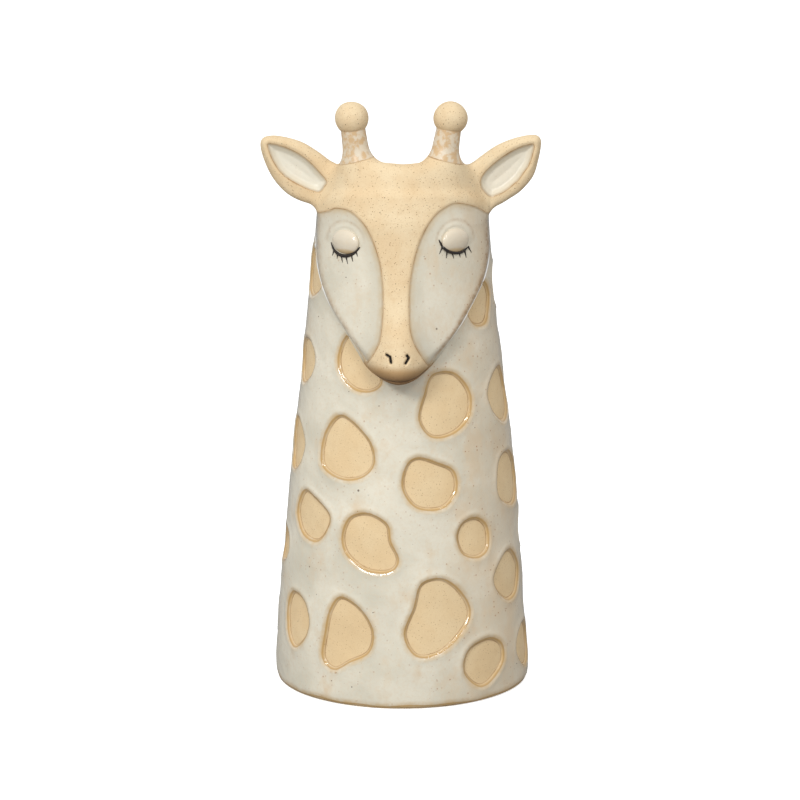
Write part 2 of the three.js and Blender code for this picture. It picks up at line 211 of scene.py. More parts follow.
# Hand-cut spots: degrees round from the front, percent of the neck's height, outline [round, up].
FRONT_SPOTS = [
    [-30, 49.6, [[-5, 16], [11, 6], [15, -6], [9, -14], [-3, -16], [-15, -10], [-15, 5]]],
    [-72, 47.8, [[-10, 12], [0, 12], [9, 2], [6, -9], [-3, -13], [-11, -5]]],
    [-52, 35.3, [[-7, 12], [3, 10], [14, 3], [13, -5], [6, -12], [-6, -10], [-13, 0]]],
    [-16, 32, [[-1, 15], [9, 10], [11, 1], [15, -8], [11, -14], [-1, -14], [-12, -7], [-15, 2], [-11, 12]]],
    [-78, 27.2, [[-8, 9], [3, 7], [7, 0], [2, -7], [-8, -8], [-13, 0]]],
    [-58, 14.3, [[-6, 14], [5, 12], [11, 3], [9, -7], [0, -14], [-8, -8], [-11, 4]]],
    [-26, 14, [[-4, 19], [7, 14], [14, 3], [12, -8], [2, -14], [-7, -19], [-14, -14], [-13, -1], [-10, 12]]],
    [17, 17.6, [[2, 20], [12, 13], [18, 2], [13, -8], [0, -18], [-12, -19], [-18, -8], [-13, 6], [-9, 18]]],
    [41, 7.7, [[2, 12], [12, 7], [13, -2], [5, -10], [-5, -12], [-14, -3], [-11, 8]]],
    [62, 22.8, [[4, 13], [-8, 10], [-15, 2], [-12, -6], [-3, -12], [8, -9], [14, 2]]],
    [76, 7.5, [[4, 12], [-9, 10], [-14, 3], [-10, -5], [0, -11], [10, -6], [13, 4]]],
    [37, 32, [[3, 10], [10, 4], [9, -6], [2, -10], [-7, -7], [-10, 2], [-6, 9]]],
    [14, 43.4, [[-6, 13], [4, 10], [13, 5], [14, -5], [6, -13], [-7, -12], [-14, -2], [-12, 9]]],
    [25, 58.1, [[-7, 15], [5, 15], [14, 5], [13, -7], [3, -15], [-9, -16], [-15, -7], [-12, 5]]],
    [70, 57.7, [[5, 14], [-8, 11], [-14, 2], [-10, -8], [0, -14], [10, -9], [14, 2]]],
    [72, 41.2, [[2, 14], [-10, 12], [-15, 2], [-13, -8], [0, -14], [11, -9], [14, 4]]],
    [56, 76.1, [[6, 10], [12, 3], [9, -5], [2, -11], [-7, -10], [-11, -2], [-6, 7]]],
    [-25, 65.8, [[-8, 13], [-13, 3], [-11, -6], [-3, -13], [6, -14], [12, -9], [9, 4], [1, 12]]],
    [-75, 64, [[-8, 10], [3, 11], [11, 4], [10, -5], [1, -11], [-8, -8], [-12, 1]]],
    [-72, 81.2, [[-8, 11], [4, 12], [11, 4], [8, -7], [-2, -12], [-11, -5]]],
]

# The same outlines come again round the back: degrees, percent, which outline.
BACK_SPOTS = [
    [112, 14, 0], [149, 9, 5], [-176, 16, 7], [-136, 10, 8], [-102, 13, 2],
    [96, 30, 4], [131, 26, 3], [167, 33, 9], [-156, 28, 1], [-120, 29, 6],
    [108, 46, 12], [143, 41, 11], [178, 49, 13], [-142, 44, 0], [-105, 45, 5],
    [104, 64, 8], [141, 58, 15], [-178, 66, 10], [-138, 61, 14], [-107, 63, 16],
    [92, 78, 11], [132, 75, 18], [168, 82, 5], [-148, 78, 12], [-110, 81, 17],
]
SPOT_FAR = 9.0          # stands for 'far from any spot'


def spot_outlines():
    """Each spot's middle (turn, height), the radius there and its outline in millimetres."""
    listed = FRONT_SPOTS + [[turn, percent, FRONT_SPOTS[which][2]] for turn, percent, which in BACK_SPOTS]
    found = []
    for degrees, percent, outline in listed:
        height = percent / 100.0 * NECK_HEIGHT
        found.append((math.radians(degrees), height, float(neck_radius(height)), flow(outline, 10)))
    return found


SPOTS = spot_outlines()


def spot_sheet(turn, height):
    """Distance to the nearest spot's edge over the whole unrolled wall, negative inside a spot."""
    nearest = np.full(turn.shape, SPOT_FAR)
    for middle, level, radius, outline in SPOTS:
        round_way = ((turn - middle + math.pi) % (2.0 * math.pi) - math.pi) * radius
        close = (np.abs(round_way) < 28.0) & (np.abs(height - level) < 30.0)
        nearest[close] = np.minimum(
            nearest[close], outline_distance(outline, round_way[close], height[close] - level)
        )
    return nearest


class SpotMap(Sheet):
    """Reads the spots' edge distance at a turn (radians) and a height (mm)."""

    ROUND_SCALE = 60.0

    def __init__(self):
        reach = math.pi * self.ROUND_SCALE + 2.0
        super().__init__(
            [-reach, -4.0], [reach, 262.0], 0.45, lambda u, v: spot_sheet(u / self.ROUND_SCALE, v)
        )

    def __call__(self, turn, height):
        return super().__call__(turn * self.ROUND_SCALE, height)


spot_edge = SpotMap()


def spot_relief(edge):
    """Height of the surface across a spot's edge: sunk floor, then a soft roll of glaze outside."""
    roll = 0.36 * hump(edge - 2.2, 1.4) - 0.34 * ease(2.0, 0.0, edge)
    return roll - (SPOT_DEPTH - 0.3) * ease(0.25, -0.8, edge)


def neck_point(turn, at, out):
    """A point of the neck: turn round, distance up the profile, and how far it stands out."""
    r = np.interp(at, PROFILE_AT, PROFILE[:, 0])
    z = np.interp(at, PROFILE_AT, PROFILE[:, 1])
    ahead = np.interp(at + 0.8, PROFILE_AT, PROFILE[:, 0]), np.interp(at + 0.8, PROFILE_AT, PROFILE[:, 1])
    behind = np.interp(at - 0.8, PROFILE_AT, PROFILE[:, 0]), np.interp(at - 0.8, PROFILE_AT, PROFILE[:, 1])
    run_r, run_z = ahead[0] - behind[0], ahead[1] - behind[1]
    length = np.hypot(run_r, run_z)
    r = r + out * run_z / length
    z = z - out * run_r / length
    x, y = r * np.sin(turn), -r * np.cos(turn)
    return np.column_stack([x, y, z + seat_and_lean(x, y, z)])


# ---- the neck's mesh ----------------------------------------------------------------------------
RING_COUNT = 256
LATTICE = 2.1
EDGE_STEP = 0.95
EDGE_OFFSETS = [-3.6, -2.4, -1.5, -0.9, -0.5, -0.1, 0.3, 0.9, 1.6, 2.5, 3.6]
WIPED_FOOT = 1.5        # glaze is wiped off the wall up to this height


def lattice_points():
    """Evenly spread points, left out where the rings round a spot take over."""
    turns, ats = [], []
    rows = np.arange(LATTICE, PROFILE_AT[-1] - 0.8, LATTICE * 0.866)
    for number, at in enumerate(rows):
        r = np.interp(at, PROFILE_AT, PROFILE[:, 0])
        count = int(round(2.0 * math.pi * r / LATTICE))
        turns.append((np.arange(count) + 0.5 * (number % 2)) * 2.0 * math.pi / count - math.pi)
        ats.append(np.full(count, at))
    turn, at = np.concatenate(turns), np.concatenate(ats)
    height = np.interp(at, PROFILE_AT, PROFILE[:, 1])
    edge = np.where(at < PROFILE_AT[PROFILE_TOP], spot_edge(turn, height), SPOT_FAR)
    free = (edge > EDGE_OFFSETS[-1] + 1.2) | (edge < EDGE_OFFSETS[0] - 1.2)
    return turn[free], at[free]


def edge_points():
    """Rings of points that follow every spot's outline, closest together at its edge."""
    turns, heights = [], []
    for middle, level, radius, outline in SPOTS:
        ring = stretch_of(np.vstack([outline, outline[:1]]), EDGE_STEP)[:-1]
        tangent = np.roll(ring, -1, axis=0) - np.roll(ring, 1, axis=0)
        tangent /= np.hypot(*tangent.T)[:, None]
        area = np.sum(ring[:, 0] * np.roll(ring[:, 1], -1) - ring[:, 1] * np.roll(ring[:, 0], -1))
        outward = np.column_stack([tangent[:, 1], -tangent[:, 0]]) * np.sign(area)
        for offset in EDGE_OFFSETS:
            moved = ring + offset * outward
            turn, height = middle + moved[:, 0] / radius, level + moved[:, 1]
            turn = (turn + math.pi) % (2.0 * math.pi) - math.pi
            true = np.abs(spot_edge(turn, height) - offset) < 0.16
            turns.append(turn[true])
            heights.append(height[true])
    up = PROFILE[:PROFILE_TOP + 1, 1]
    height = np.concatenate(heights)
    fits = (height > 2.0) & (height < TOP_Z)
    return np.concatenate(turns)[fits], np.interp(height[fits], up, PROFILE_AT[:PROFILE_TOP + 1])


def joined(turn, at):
    """Triangles between points of the wall, found on a flat map of it that keeps angles true."""
    middle_radius = 0.5 * (PROFILE[1:, 0] + PROFILE[:-1, 0])
    growth = np.concatenate([[0.0], np.cumsum(np.diff(PROFILE_AT) / middle_radius)])
    rho = np.exp(np.interp(at, PROFILE_AT, growth) - growth[-1])
    flat = [Vector((r * math.cos(a), r * math.sin(a))) for r, a in zip(rho.tolist(), turn.tolist())]
    made = delaunay_2d_cdt(flat, [], [], 0, 1e-9)
    origin = np.array([own[0] for own in made[3]])
    return origin[np.array(made[2])]


def wall_marks(turn, at, height):
    """The bare-clay distance: above 0 on bare clay, below 0 under glaze."""
    bare = np.where(at < PROFILE_AT[PROFILE_TOP], -spot_edge(turn, height), -SPOT_FAR)
    ragged = 0.35 * np.sin(7.0 * turn) + 0.35 * np.sin(17.0 * turn + 1.0)
    return np.maximum(bare, WIPED_FOOT + ragged - height)


def inner_rings(ring):
    """Points from under the lip down the inside wall and across the foot ring, and their bare mark."""
    lip = [[26.6, 265.0], [33.0, 262.0]]
    side = [[neck_radius(z) - WALL, z] for z in np.linspace(TOP_Z - 7.0, 8.0, 22)]
    foot = [[60.6, 1.5], [61.6, 0.0], [64.9, 0.0]]
    profile = flow([*lip, *side, *foot], 2, closed=False)[1:-1]
    rings = []
    for r, z in profile:
        x, y = r * np.sin(ring), -r * np.cos(ring)
        rings.append(np.column_stack([x, y, z + seat_and_lean(x, y, z)]))
    bare = np.where(profile[:, 1] < 0.8, 4.0, -SPOT_FAR)
    return np.vstack(rings), np.repeat(bare, RING_COUNT)


def outer_points(turn, at):
    """Places on the finished outside, lumps and sunk spots included, and their bare mark."""
    height = np.interp(at, PROFILE_AT, PROFILE[:, 1])
    edge = np.where(at < PROFILE_AT[PROFILE_TOP], spot_edge(turn, height), SPOT_FAR)
    plain = neck_point(turn, at, np.zeros(len(turn)))
    out = spot_relief(edge) + lumps(*plain.T) * ease(0.0, 4.0, height)
    return neck_point(turn, at, out), wall_marks(turn, at, height)


def neck_mesh():
    """The whole neck: outside, lip, inside wall and foot ring in one closed skin."""
    ring = np.arange(RING_COUNT) * 2.0 * math.pi / RING_COUNT - math.pi
    lattice, edges = lattice_points(), edge_points()
    turn = np.concatenate([ring, ring, lattice[0], edges[0]])
    at = np.concatenate([np.zeros(RING_COUNT), np.full(RING_COUNT, PROFILE_AT[-1]), lattice[1], edges[1]])
    triangles = joined(turn, at)
    triangles = triangles[~np.all(triangles < RING_COUNT, axis=1)]
    points, marks = outer_points(turn, at)

    corner = points[triangles]
    facing = np.cross(corner[:, 1] - corner[:, 0], corner[:, 2] - corner[:, 0])
    outside = np.column_stack([np.sin(turn[triangles[:, 0]]), -np.cos(turn[triangles[:, 0]])])
    if np.sum(facing[:, :2] * outside) < 0.0:
        triangles = triangles[:, ::-1]

    inner, inner_bare = inner_rings(ring)
    grid = np.vstack([
        np.arange(RING_COUNT, 2 * RING_COUNT),
        len(points) + np.arange(len(inner)).reshape(-1, RING_COUNT),
        np.arange(RING_COUNT),
    ])
    faces = triangles.tolist() + ring_quads(grid)[:, ::-1].tolist()
    return np.vstack([points, inner]), faces, np.concatenate([marks, inner_bare])


# ---- the head's form ----------------------------------------------------------------------------
# Outlines seen from the front, [x, z].
MASK_OUTLINE = flow([
    [-44, 252], [-44.4, 240], [-43.8, 227], [-41.2, 216.8], [-35.9, 205.7], [-27.8, 194.2], [-21.4, 184.5],
    [-16.8, 177.4], [-9.8, 172.9], [-1.5, 171.2], [7, 173.2], [12.6, 177.5], [16.9, 182.1], [22.9, 189.6],
    [30.2, 199.4], [37.5, 211.3], [42.4, 221], [45, 232], [45, 241], [44.3, 252], [42, 262], [35, 269],
    [20, 272.5], [0, 273.5], [-20, 272.5], [-35, 269], [-42, 262],
], 8)

# Bare clay of the forehead, the bridge of the nose and the muzzle, between the glazed cheeks.
BARE_OUTLINE = flow([
    [-45.5, 253.3], [-38.4, 254.8], [-33.7, 257], [-26.4, 256.2], [-20.3, 251.3], [-16.2, 245],
    [-13.2, 237.1], [-11.1, 229.3], [-10.1, 220.9], [-9.9, 211.1], [-10.4, 201.4], [-11.8, 192.8],
    [-14.7, 186.7],
    [-17.6, 181.9], [-19.5, 177], [-14, 171], [-6, 167], [4, 167], [12, 172], [17, 178], [13.4, 180.4],
    [11.1, 183.9], [6.9, 191], [4.2, 199], [3.6, 208.6], [3.8, 218.7], [5.1, 228.5], [8.1, 239.8],
    [12.1, 248.7], [17.2, 255.4], [23.4, 259.3], [28.5, 260.1], [37.4, 257.2], [45.5, 252.5], [49, 262],
    [46, 276], [30, 292], [0, 296], [-30, 292], [-46, 276], [-49, 262],
], 6)

EAR_OUTLINES = {
    "left": flow([
        [-30, 272], [-35.1, 276.4], [-38.7, 278.9], [-43.9, 282.8], [-50.6, 287], [-56.7, 289.3],
        [-62.9, 290.6], [-67.1, 290.9], [-70.9, 290.1], [-72.3, 287.5], [-71.3, 281.8], [-68.2, 274],
        [-64.2, 267.8], [-59, 262.6], [-52.8, 259.2], [-45.1, 257], [-37, 255.6], [-31, 262],
    ], 8),
    "right": flow([
        [29, 271], [34.3, 275.2], [41.3, 280.7], [47.5, 285.1], [52.6, 287.7], [57.8, 289.6],
        [63.4, 290.9], [67.6, 291.3], [70, 290.4], [70.7, 287.3], [69.3, 279.2], [66.7, 271.1],
        [60.8, 264.1], [54.9, 260], [49.8, 257], [43, 254.4], [36, 254], [31, 260],
    ], 8),
}
CUP_OUTLINES = {
    "left": flow([
        [-69, 287.9], [-63.4, 287.1], [-57.7, 285], [-52.6, 282.3], [-47.5, 278.3], [-42.3, 272.7],
        [-39.2, 268.9], [-40.5, 266], [-42.9, 263.4], [-47.6, 264.4], [-52.7, 266.7], [-57.9, 269.6],
        [-63, 274], [-66.5, 279.4], [-68.6, 284.6],
    ], 8),
    "right": flow([
        [67.5, 287.5], [63.4, 287], [59.3, 285.6], [54.5, 283], [50, 279.9], [46, 276.7], [42.3, 272.9],
        [40.4, 269.1], [41.4, 264.9], [45.4, 261], [49.3, 262], [53.2, 263.9], [59.4, 269.1],
        [62.4, 273.2], [65.2, 277.4], [67, 283],
    ], 8),
}
EYES = {"left": (-28.9, 240.9), "right": (26.9, 241.8)}
EYE_HALF = (6.6, 7.2)
NOSTRILS = [
    np.array([[-7.9, 187.3], [-6.1, 186.4], [-5.7, 183.7]]),
    np.array([[2.3, 187.2], [3.2, 185.9], [1.6, 183.5]]),
]
MOUTH = flow([[-17, 176.8], [-15, 175.7], [-11.1, 174.6], [-6.6, 174.1], [-1, 173.8], [5, 174.6],
              [9.6, 176.2], [13.5, 178.8]], 5, closed=False)

HEAD_LOW, HEAD_HIGH = [-78.0, 158.0], [78.0, 300.0]
mask_edge = Sheet(HEAD_LOW, HEAD_HIGH, 0.4, lambda x, z: outline_distance(MASK_OUTLINE, x, z))
bare_edge = Sheet(HEAD_LOW, HEAD_HIGH, 0.4, lambda x, z: -outline_distance(BARE_OUTLINE, x, z))
ear_edge = {side: Sheet(HEAD_LOW, HEAD_HIGH, 0.4, lambda x, z: outline_distance(line, x, z))
            for side, line in EAR_OUTLINES.items()}
cup_edge = {side: Sheet(HEAD_LOW, HEAD_HIGH, 0.4, lambda x, z: outline_distance(line, x, z))
            for side, line in CUP_OUTLINES.items()}


def groove_sheet(x, z):
    """How deep the nostrils and the line of the mouth are pressed in."""
    nostrils = np.minimum(line_distance(NOSTRILS[0], x, z), line_distance(NOSTRILS[1], x, z))
    return 2.4 * hump(nostrils, 0.66) + 1.3 * hump(line_distance(MOUTH, x, z), 0.6)


groove = Sheet([-30.0, 165.0], [30.0, 195.0], 0.2, groove_sheet)
groove.values[[0, -1], :] = 0.0
groove.values[:, [0, -1]] = 0.0


def core_outline():
    """Section of the neck taken as solid down to the mouth's bore."""
    upper = PROFILE[PROFILE[:, 1] > 120.0][::3]
    return np.vstack([upper, [[25.0, 262.0], [25.0, 120.0]]])


core_edge = Sheet([0.0, 120.0], [84.0, 300.0], 0.4, lambda r, z: outline_distance(core_outline(), r, z))


def neck_distance(x, y, z):
    """Distance out from the finished wall, with its lumps and sunk spots."""
    flat = z
    for _ in range(7):
        flat = z - seat_and_lean(x, y, flat)
    radius = np.hypot(x, y)
    turn = np.arctan2(x, -y)
    near_side = ease(236.0, 232.0, flat)
    relief = spot_relief(spot_edge(turn, flat)) * np.where(flat < 258.0, 1.0, 0.0)
    return core_edge(radius, flat) - lumps(x, y, flat) - relief * near_side


def eye_share(x, z, side):
    middle_x, middle_z = EYES[side]
    return np.hypot((x - middle_x) / EYE_HALF[0], (z - middle_z) / EYE_HALF[1])


def face_reach(x, z):
    """How far in front of the axis the face stands."""
    drop = NECK_HEIGHT - z
    stand = 6.0 * ease(-2.0, 24.0, drop)
    side = np.sqrt(np.maximum((neck_radius(z) + 2.0) ** 2 - x ** 2, 100.0))
    across = (x - MUZZLE_X * ease(20.0, FACE_DROP, drop)) / MUZZLE_HALF_WIDTH
    bridge = 5.0 * np.exp(-across ** 2) * ease(20.0, 80.0, drop)
    above = FACE_DROP - MUZZLE_RISE - drop
    muzzle = 9.0 * np.exp(-(above / np.where(above > 0.0, 24.0, 14.0)) ** 2 - (across / 1.15) ** 2)
    return stand + side + bridge + muzzle


def face_detail(x, z):
    """What is modelled into the face: the raised bare clay, eyelid folds, nostrils and mouth."""
    raised = 0.75 * ease(-0.4, 1.5, bare_edge(x, z)) - groove(x, z)
    for side, (_, middle_z) in EYES.items():
        share = eye_share(x, z, side)
        upper = ease(-3.5, 2.5, z - middle_z)
        pad = 0.6 * ease(1.5, 1.04, share) * upper
        crease = 0.25 * hump((share - 0.98) * 6.8, 0.6) * upper
        raised = raised + pad - crease
    return raised


def face_solid(x, y, z):
    reach = face_reach(x, z) + face_detail(x, z)
    step = 0.8
    slope_x = (face_reach(x + step, z) - face_reach(x - step, z)) / (2.0 * step)
    slope_z = (face_reach(x, z + step) - face_reach(x, z - step)) / (2.0 * step)
    front = (-y - reach) / np.sqrt(1.0 + slope_x ** 2 + slope_z ** 2)
    rounding = 2.0 + 5.4 * ease(196.0, 180.0, z) + 13.0 * ease(255.0, 270.0, z)
    block = trim(front, mask_edge(x, z), rounding)
    behind = y + 2.0 + 14.0 * ease(252.0, 266.0, z)
    return np.maximum(np.maximum(block, behind), MOUTH_RADIUS + 3.5 - np.hypot(x, y))


def hood_solid(neck, y, z):
    """The thin layer of clay over the front of the crown."""
    return trim(trim(neck + 0.3, y + 15.0, 6.0), 252.0 - z, 8.0)


def ear_solid(x, y, z, side):
    outline, cup = ear_edge[side](x, z) - 1.0, cup_edge[side](x, z)
    hollow = 2.7 * ease(0.8, -3.4, cup) + 1.2 * ease(-3.0, -11.0, cup)
    roll = 0.6 * hump(cup - 1.9, 1.3) * ease(262.0, 282.0, z)
    bow = 0.0016 * (np.abs(x) - 40.0) ** 2
    front = (-y - 18.3 + hollow - roll + bow) / 1.15
    back = (y + 9.4 - bow) / 1.05
    return trim(trim(front, outline, 4.2), back, 5.0)


def stem_solid(x, y, z, side):
    foot, tip = NECK_HEIGHT + HORN_SEAT, KNOB_Z
    share = (z - foot) / (tip - foot)
    foot_x, tip_x = HORN_SPOTS[side]
    middle_x = foot_x + (tip_x - foot_x) * share
    radius = STEM_RADIUS * (1.04 - 0.13 * share + 0.03 * np.sin(3.0 * share + foot_x))
    around = np.hypot(x - middle_x, y - HORN_Y) - radius
    return trim(around, z - tip, 3.0)


SKIN_DIP = 0.14          # the head's skin dips this far under the wall, so it ends out of sight


def head_parts(x, y, z):
    """Every modelled part of the head on its own, and the wall that they sit on."""
    neck = neck_distance(x, y, z)
    return {
        "face": meld(face_solid(x, y, z), hood_solid(neck, y, z), 3.0),
        "ear_left": ear_solid(x, y, z, "left"),
        "ear_right": ear_solid(x, y, z, "right"),
        "horn_stem_left": stem_solid(x, y, z, "left"),
        "horn_stem_right": stem_solid(x, y, z, "right"),
    }, neck + SKIN_DIP


WALL_FILLET = 2.3
EAR_FILLET = 6.0
STEM_FILLET = 8.0
SKIN_LOW, SKIN_HIGH, SKIN_STEP = [-75.0, -80.0, 163.0], [75.0, 8.0, 304.0], 0.67


def head_field(points):
    """Distance to the head run together: soft where ears and horns join, tight along the mask."""
    x, y, z = points.T
    parts, wall = head_parts(x, y, z)
    ears = np.minimum(parts["ear_left"], parts["ear_right"])
    stems = np.minimum(parts["horn_stem_left"], parts["horn_stem_right"])
    head = meld(parts["face"], ears, EAR_FILLET)
    head = meld(head, wall, WALL_FILLET)
    return meld(head, np.minimum(stems, 3.0 * STEM_FILLET), STEM_FILLET)


# ---- a skin over a form -------------------------------------------------------------------------


def field_grid(field, low, counts, step):
    """The field on a grid, worked out only in the blocks that the surface can reach."""
    blocks = [count // 4 for count in counts]
    centre = [np.arange(n) * 4.0 + 1.5 for n in blocks]
    coarse_index = np.stack(np.meshgrid(*centre, indexing="ij"), axis=-1).reshape(-1, 3)
    coarse = field(low + step * coarse_index).reshape(blocks)
    fine = coarse
    for axis in range(3):
        fine = np.repeat(fine, 4, axis=axis)
    near = np.argwhere(np.abs(fine) < 6.5 * step)
    fine[tuple(near.T)] = field(low + step * near)
    return fine


def corner_values(grid, cells):
    return {
        (i, j, k): grid[cells[:, 0] + i, cells[:, 1] + j, cells[:, 2] + k]
        for i in (0, 1) for j in (0, 1) for k in (0, 1)
    }


def cell_points(grid, cells):
    """One point in each crossed cell: the middle of where the surface cuts the cell's edges."""
    values = corner_values(grid, cells)
    total = np.zeros((len(cells), 3))
    count = np.zeros(len(cells))
    for start, from_value in values.items():
        for axis in range(3):
            if start[axis]:
                continue
            end = tuple(1 if other == axis else at for other, at in enumerate(start))
            to_value = values[end]
            cut = (from_value < 0.0) != (to_value < 0.0)
            share = from_value / np.where(cut, from_value - to_value, 1.0)
            spot = np.array(start, float)[None, :].repeat(len(cells), axis=0)
            spot[:, axis] = share
            total[cut] += spot[cut]
            count[cut] += 1.0
    return cells + total / count[:, None]


def skin(field, low, high, step):
    """Four-sided faces over the field's zero surface, facing outward."""
    low = np.array(low, float)
    counts = [int(math.ceil((h - l) / (4.0 * step))) * 4 for l, h in zip(low, high)]
    grid = field_grid(field, low, counts, step)
    inside = grid < 0.0
    total = np.zeros([count - 1 for count in counts], np.int8)
    for i in (0, 1):
        for j in (0, 1):
            for k in (0, 1):
                total += inside[i:counts[0] - 1 + i, j:counts[1] - 1 + j, k:counts[2] - 1 + k]
    cells = np.argwhere((total > 0) & (total < 8))
    number = np.full(total.shape, -1, np.int32)
    number[tuple(cells.T)] = np.arange(len(cells))
    points = low + step * cell_points(grid, cells)

    faces = []
    for axis in range(3):
        p, q = [other for other in range(3) if other != axis]
        ahead = np.roll(inside, -1, axis=axis)
        edges = np.argwhere(inside != ahead)
        fits = edges[:, axis] < counts[axis] - 1
        for other in (p, q):
            fits &= (edges[:, other] > 0) & (edges[:, other] < counts[other] - 1)
        edges = edges[fits]
        ring = []
        for back_p, back_q in ((0, 0), (1, 0), (1, 1), (0, 1)):
            cell = edges.copy()
            cell[:, p] -= back_p
            cell[:, q] -= back_q
            ring.append(number[tuple(cell.T)])
        quads = np.stack(ring, axis=1)
        turned = inside[tuple(edges.T)] == (axis == 1)
        quads[turned] = quads[turned][:, ::-1]
        faces.append(quads)
    return points, np.vstack(faces)


def slopes(field, points, step):
    """The field's direction at each point."""
    found = []
    for axis in range(3):
        shift = np.zeros(3)
        shift[axis] = step
        found.append((field(points + shift) - field(points - shift)) / (2.0 * step))
    return np.column_stack(found)


def settle(field, points, rounds, most):
    """Moves points onto the field's zero surface."""
    for _ in range(rounds):
        slope = slopes(field, points, 0.12)
        steepness = np.maximum(np.sum(slope ** 2, axis=1), 0.2)
        move = np.clip(field(points) / steepness, -most, most)
        points = points - move[:, None] * slope
    return points


def relaxed(points, faces, share):
    """Points eased towards the middle of their neighbours."""
    total = np.zeros_like(points)
    count = np.zeros(len(points))
    for a, b in ((0, 1), (1, 2), (2, 3), (3, 0)):
        np.add.at(total, faces[:, a], points[faces[:, b]])
        np.add.at(total, faces[:, b], points[faces[:, a]])
        np.add.at(count, faces[:, a], 1.0)
        np.add.at(count, faces[:, b], 1.0)
    return points + share * (total / np.maximum(count, 1.0)[:, None] - points)


def unit(vectors):
    return vectors / np.maximum(np.linalg.norm(vectors, axis=1), 1e-9)[:, None]


# ---- pieces -------------------------------------------------------------------------------------


def add_piece(name, points, faces, material, marks=None, normals=None):
    """A mesh piece in metres, with the named marks that its material reads."""
    mesh = bpy.data.meshes.new(name)
    face_lists = faces if isinstance(faces, list) else faces.tolist()
    mesh.from_pydata((np.asarray(points) * MM).tolist(), [], face_lists)
    for mark, values in (marks or {}).items():
        mesh.attributes.new(mark, "FLOAT", "POINT").data.foreach_set("value", np.asarray(values, np.float32))
    mesh.polygons.foreach_set("use_smooth", np.ones(len(mesh.polygons), bool))
    mesh.materials.append(material)
    mesh.update()
    if normals is not None:
        mesh.normals_split_custom_set(normals.tolist())
    made = bpy.data.objects.new(name, mesh)
    bpy.context.scene.collection.objects.link(made)
    return made


def place(piece, slot, *nodes):
    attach(piece, "root")
    if nodes:
        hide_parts(*nodes)
    return piece


SHELL_DEPTH = 1.6


def shell_of(points, normals, faces):
    """A closed shell below an open patch of skin: outer face, inner face and the rim between."""
    used, faces = np.unique(faces, return_inverse=True)
    faces = faces.reshape(-1, 4)
    outer, normal = points[used], normals[used]
    count = len(outer)
    edges = np.vstack([faces[:, [k, (k + 1) % 4]] for k in range(4)])
    key = edges[:, 0].astype(np.int64) * count + edges[:, 1]
    back = edges[:, 1].astype(np.int64) * count + edges[:, 0]
    rim = edges[~np.isin(key, back)]
    rim_faces = np.column_stack([rim[:, 1], rim[:, 0], rim[:, 0] + count, rim[:, 1] + count])
    all_points = np.vstack([outer, outer - SHELL_DEPTH * normal])
    all_faces = np.vstack([faces, faces[:, ::-1] + count, rim_faces])
    rim_corner = all_points[rim_faces]
    rim_normal = unit(np.cross(rim_corner[:, 2] - rim_corner[:, 0], rim_corner[:, 3] - rim_corner[:, 1]))
    all_normals = np.vstack([
        normal[faces].reshape(-1, 3),
        -normal[faces[:, ::-1]].reshape(-1, 3),
        np.repeat(rim_normal, 4, axis=0),
    ])
    return all_points, all_faces, all_normals, used


EAR_FROM_X = 34.0       # further out than this the head is ear
CROWN_FROM_Z = 258.0    # above this the bare clay runs on over the crown
CROWN_RIDGE = 29.6      # and stops at this distance from the neck's axis
FACE_BACK_Y = -17.0     # behind these the face and the ears are glazed
EAR_BACK_Y = -11.5


def head_bare(parts, stems, x, y, z):
    """Distance into the bare clay of brow, nose and ears; below 0 the surface is glazed."""
    on_crown = z > CROWN_FROM_Z
    front = FACE_BACK_Y - y
    bare = np.where(on_crown, bare_edge(x, z), np.minimum(bare_edge(x, z), 1.3 - mask_edge(x, z)))
    bare = np.minimum(bare, np.where(on_crown, np.minimum(front, np.hypot(x, y) - CROWN_RIDGE), front))
    for side in ("left", "right"):
        cup = cup_edge[side](x, z)
        rim = np.minimum(cup, 2.2 - ear_edge[side](x, z))
        own_side = 2.0 + parts["face"] - parts[f"ear_{side}"]
        rim = np.minimum(rim, np.minimum(EAR_BACK_Y - y, own_side))
        bare = np.minimum(np.maximum(bare, rim), np.where(np.abs(x) > EAR_FROM_X, cup, SPOT_FAR))
    glaze_line = 279.1 + 0.26 * (30.0 - np.abs(x))
    by_stem = (np.abs(x) < EAR_FROM_X) & (stems < 4.0)
    bare = np.where(by_stem, np.minimum(bare, glaze_line - z), bare)
    return np.clip(bare, -SPOT_FAR, SPOT_FAR)


def knob_distance(x, y, z):
    """Distance to the nearer knob's surface."""
    found = [np.sqrt((x - tip_x) ** 2 + (y - HORN_Y) ** 2 + (z - KNOB_Z) ** 2) - KNOB_RADIUS
             for _, tip_x in HORN_SPOTS.values()]
    return np.minimum(*np.abs(found))


def thin_glaze(neck, x, y, z):
    """Where glaze breaks over an edge: under the knobs, along the mask's edge and the eye folds."""
    knobs = knob_distance(x, y, z)
    thin = np.maximum(0.95 * hump(knobs, 0.9), 0.62 * ease(15.0, 1.0, knobs) * ease(281.0, 284.0, z))
    edge_band = hump(mask_edge(x, z) + 1.2, 1.5) * ease(262.0, 250.0, z)
    edge_band = edge_band * (0.55 + 0.45 * ease(-10.0, 10.0, x))
    edge_band = edge_band * ease(9.0, 2.0, y + face_reach(x, z))
    thin = np.maximum(thin, edge_band * ease(0.4, 1.4, neck))
    for side, (_, middle_z) in EYES.items():
        fold = 0.55 * hump((eye_share(x, z, side) - 1.45) * 6.5, 0.7)
        thin = np.maximum(thin, fold * ease(-2.0, 2.0, z - middle_z))
    return np.clip(thin, 0.0, 1.0)


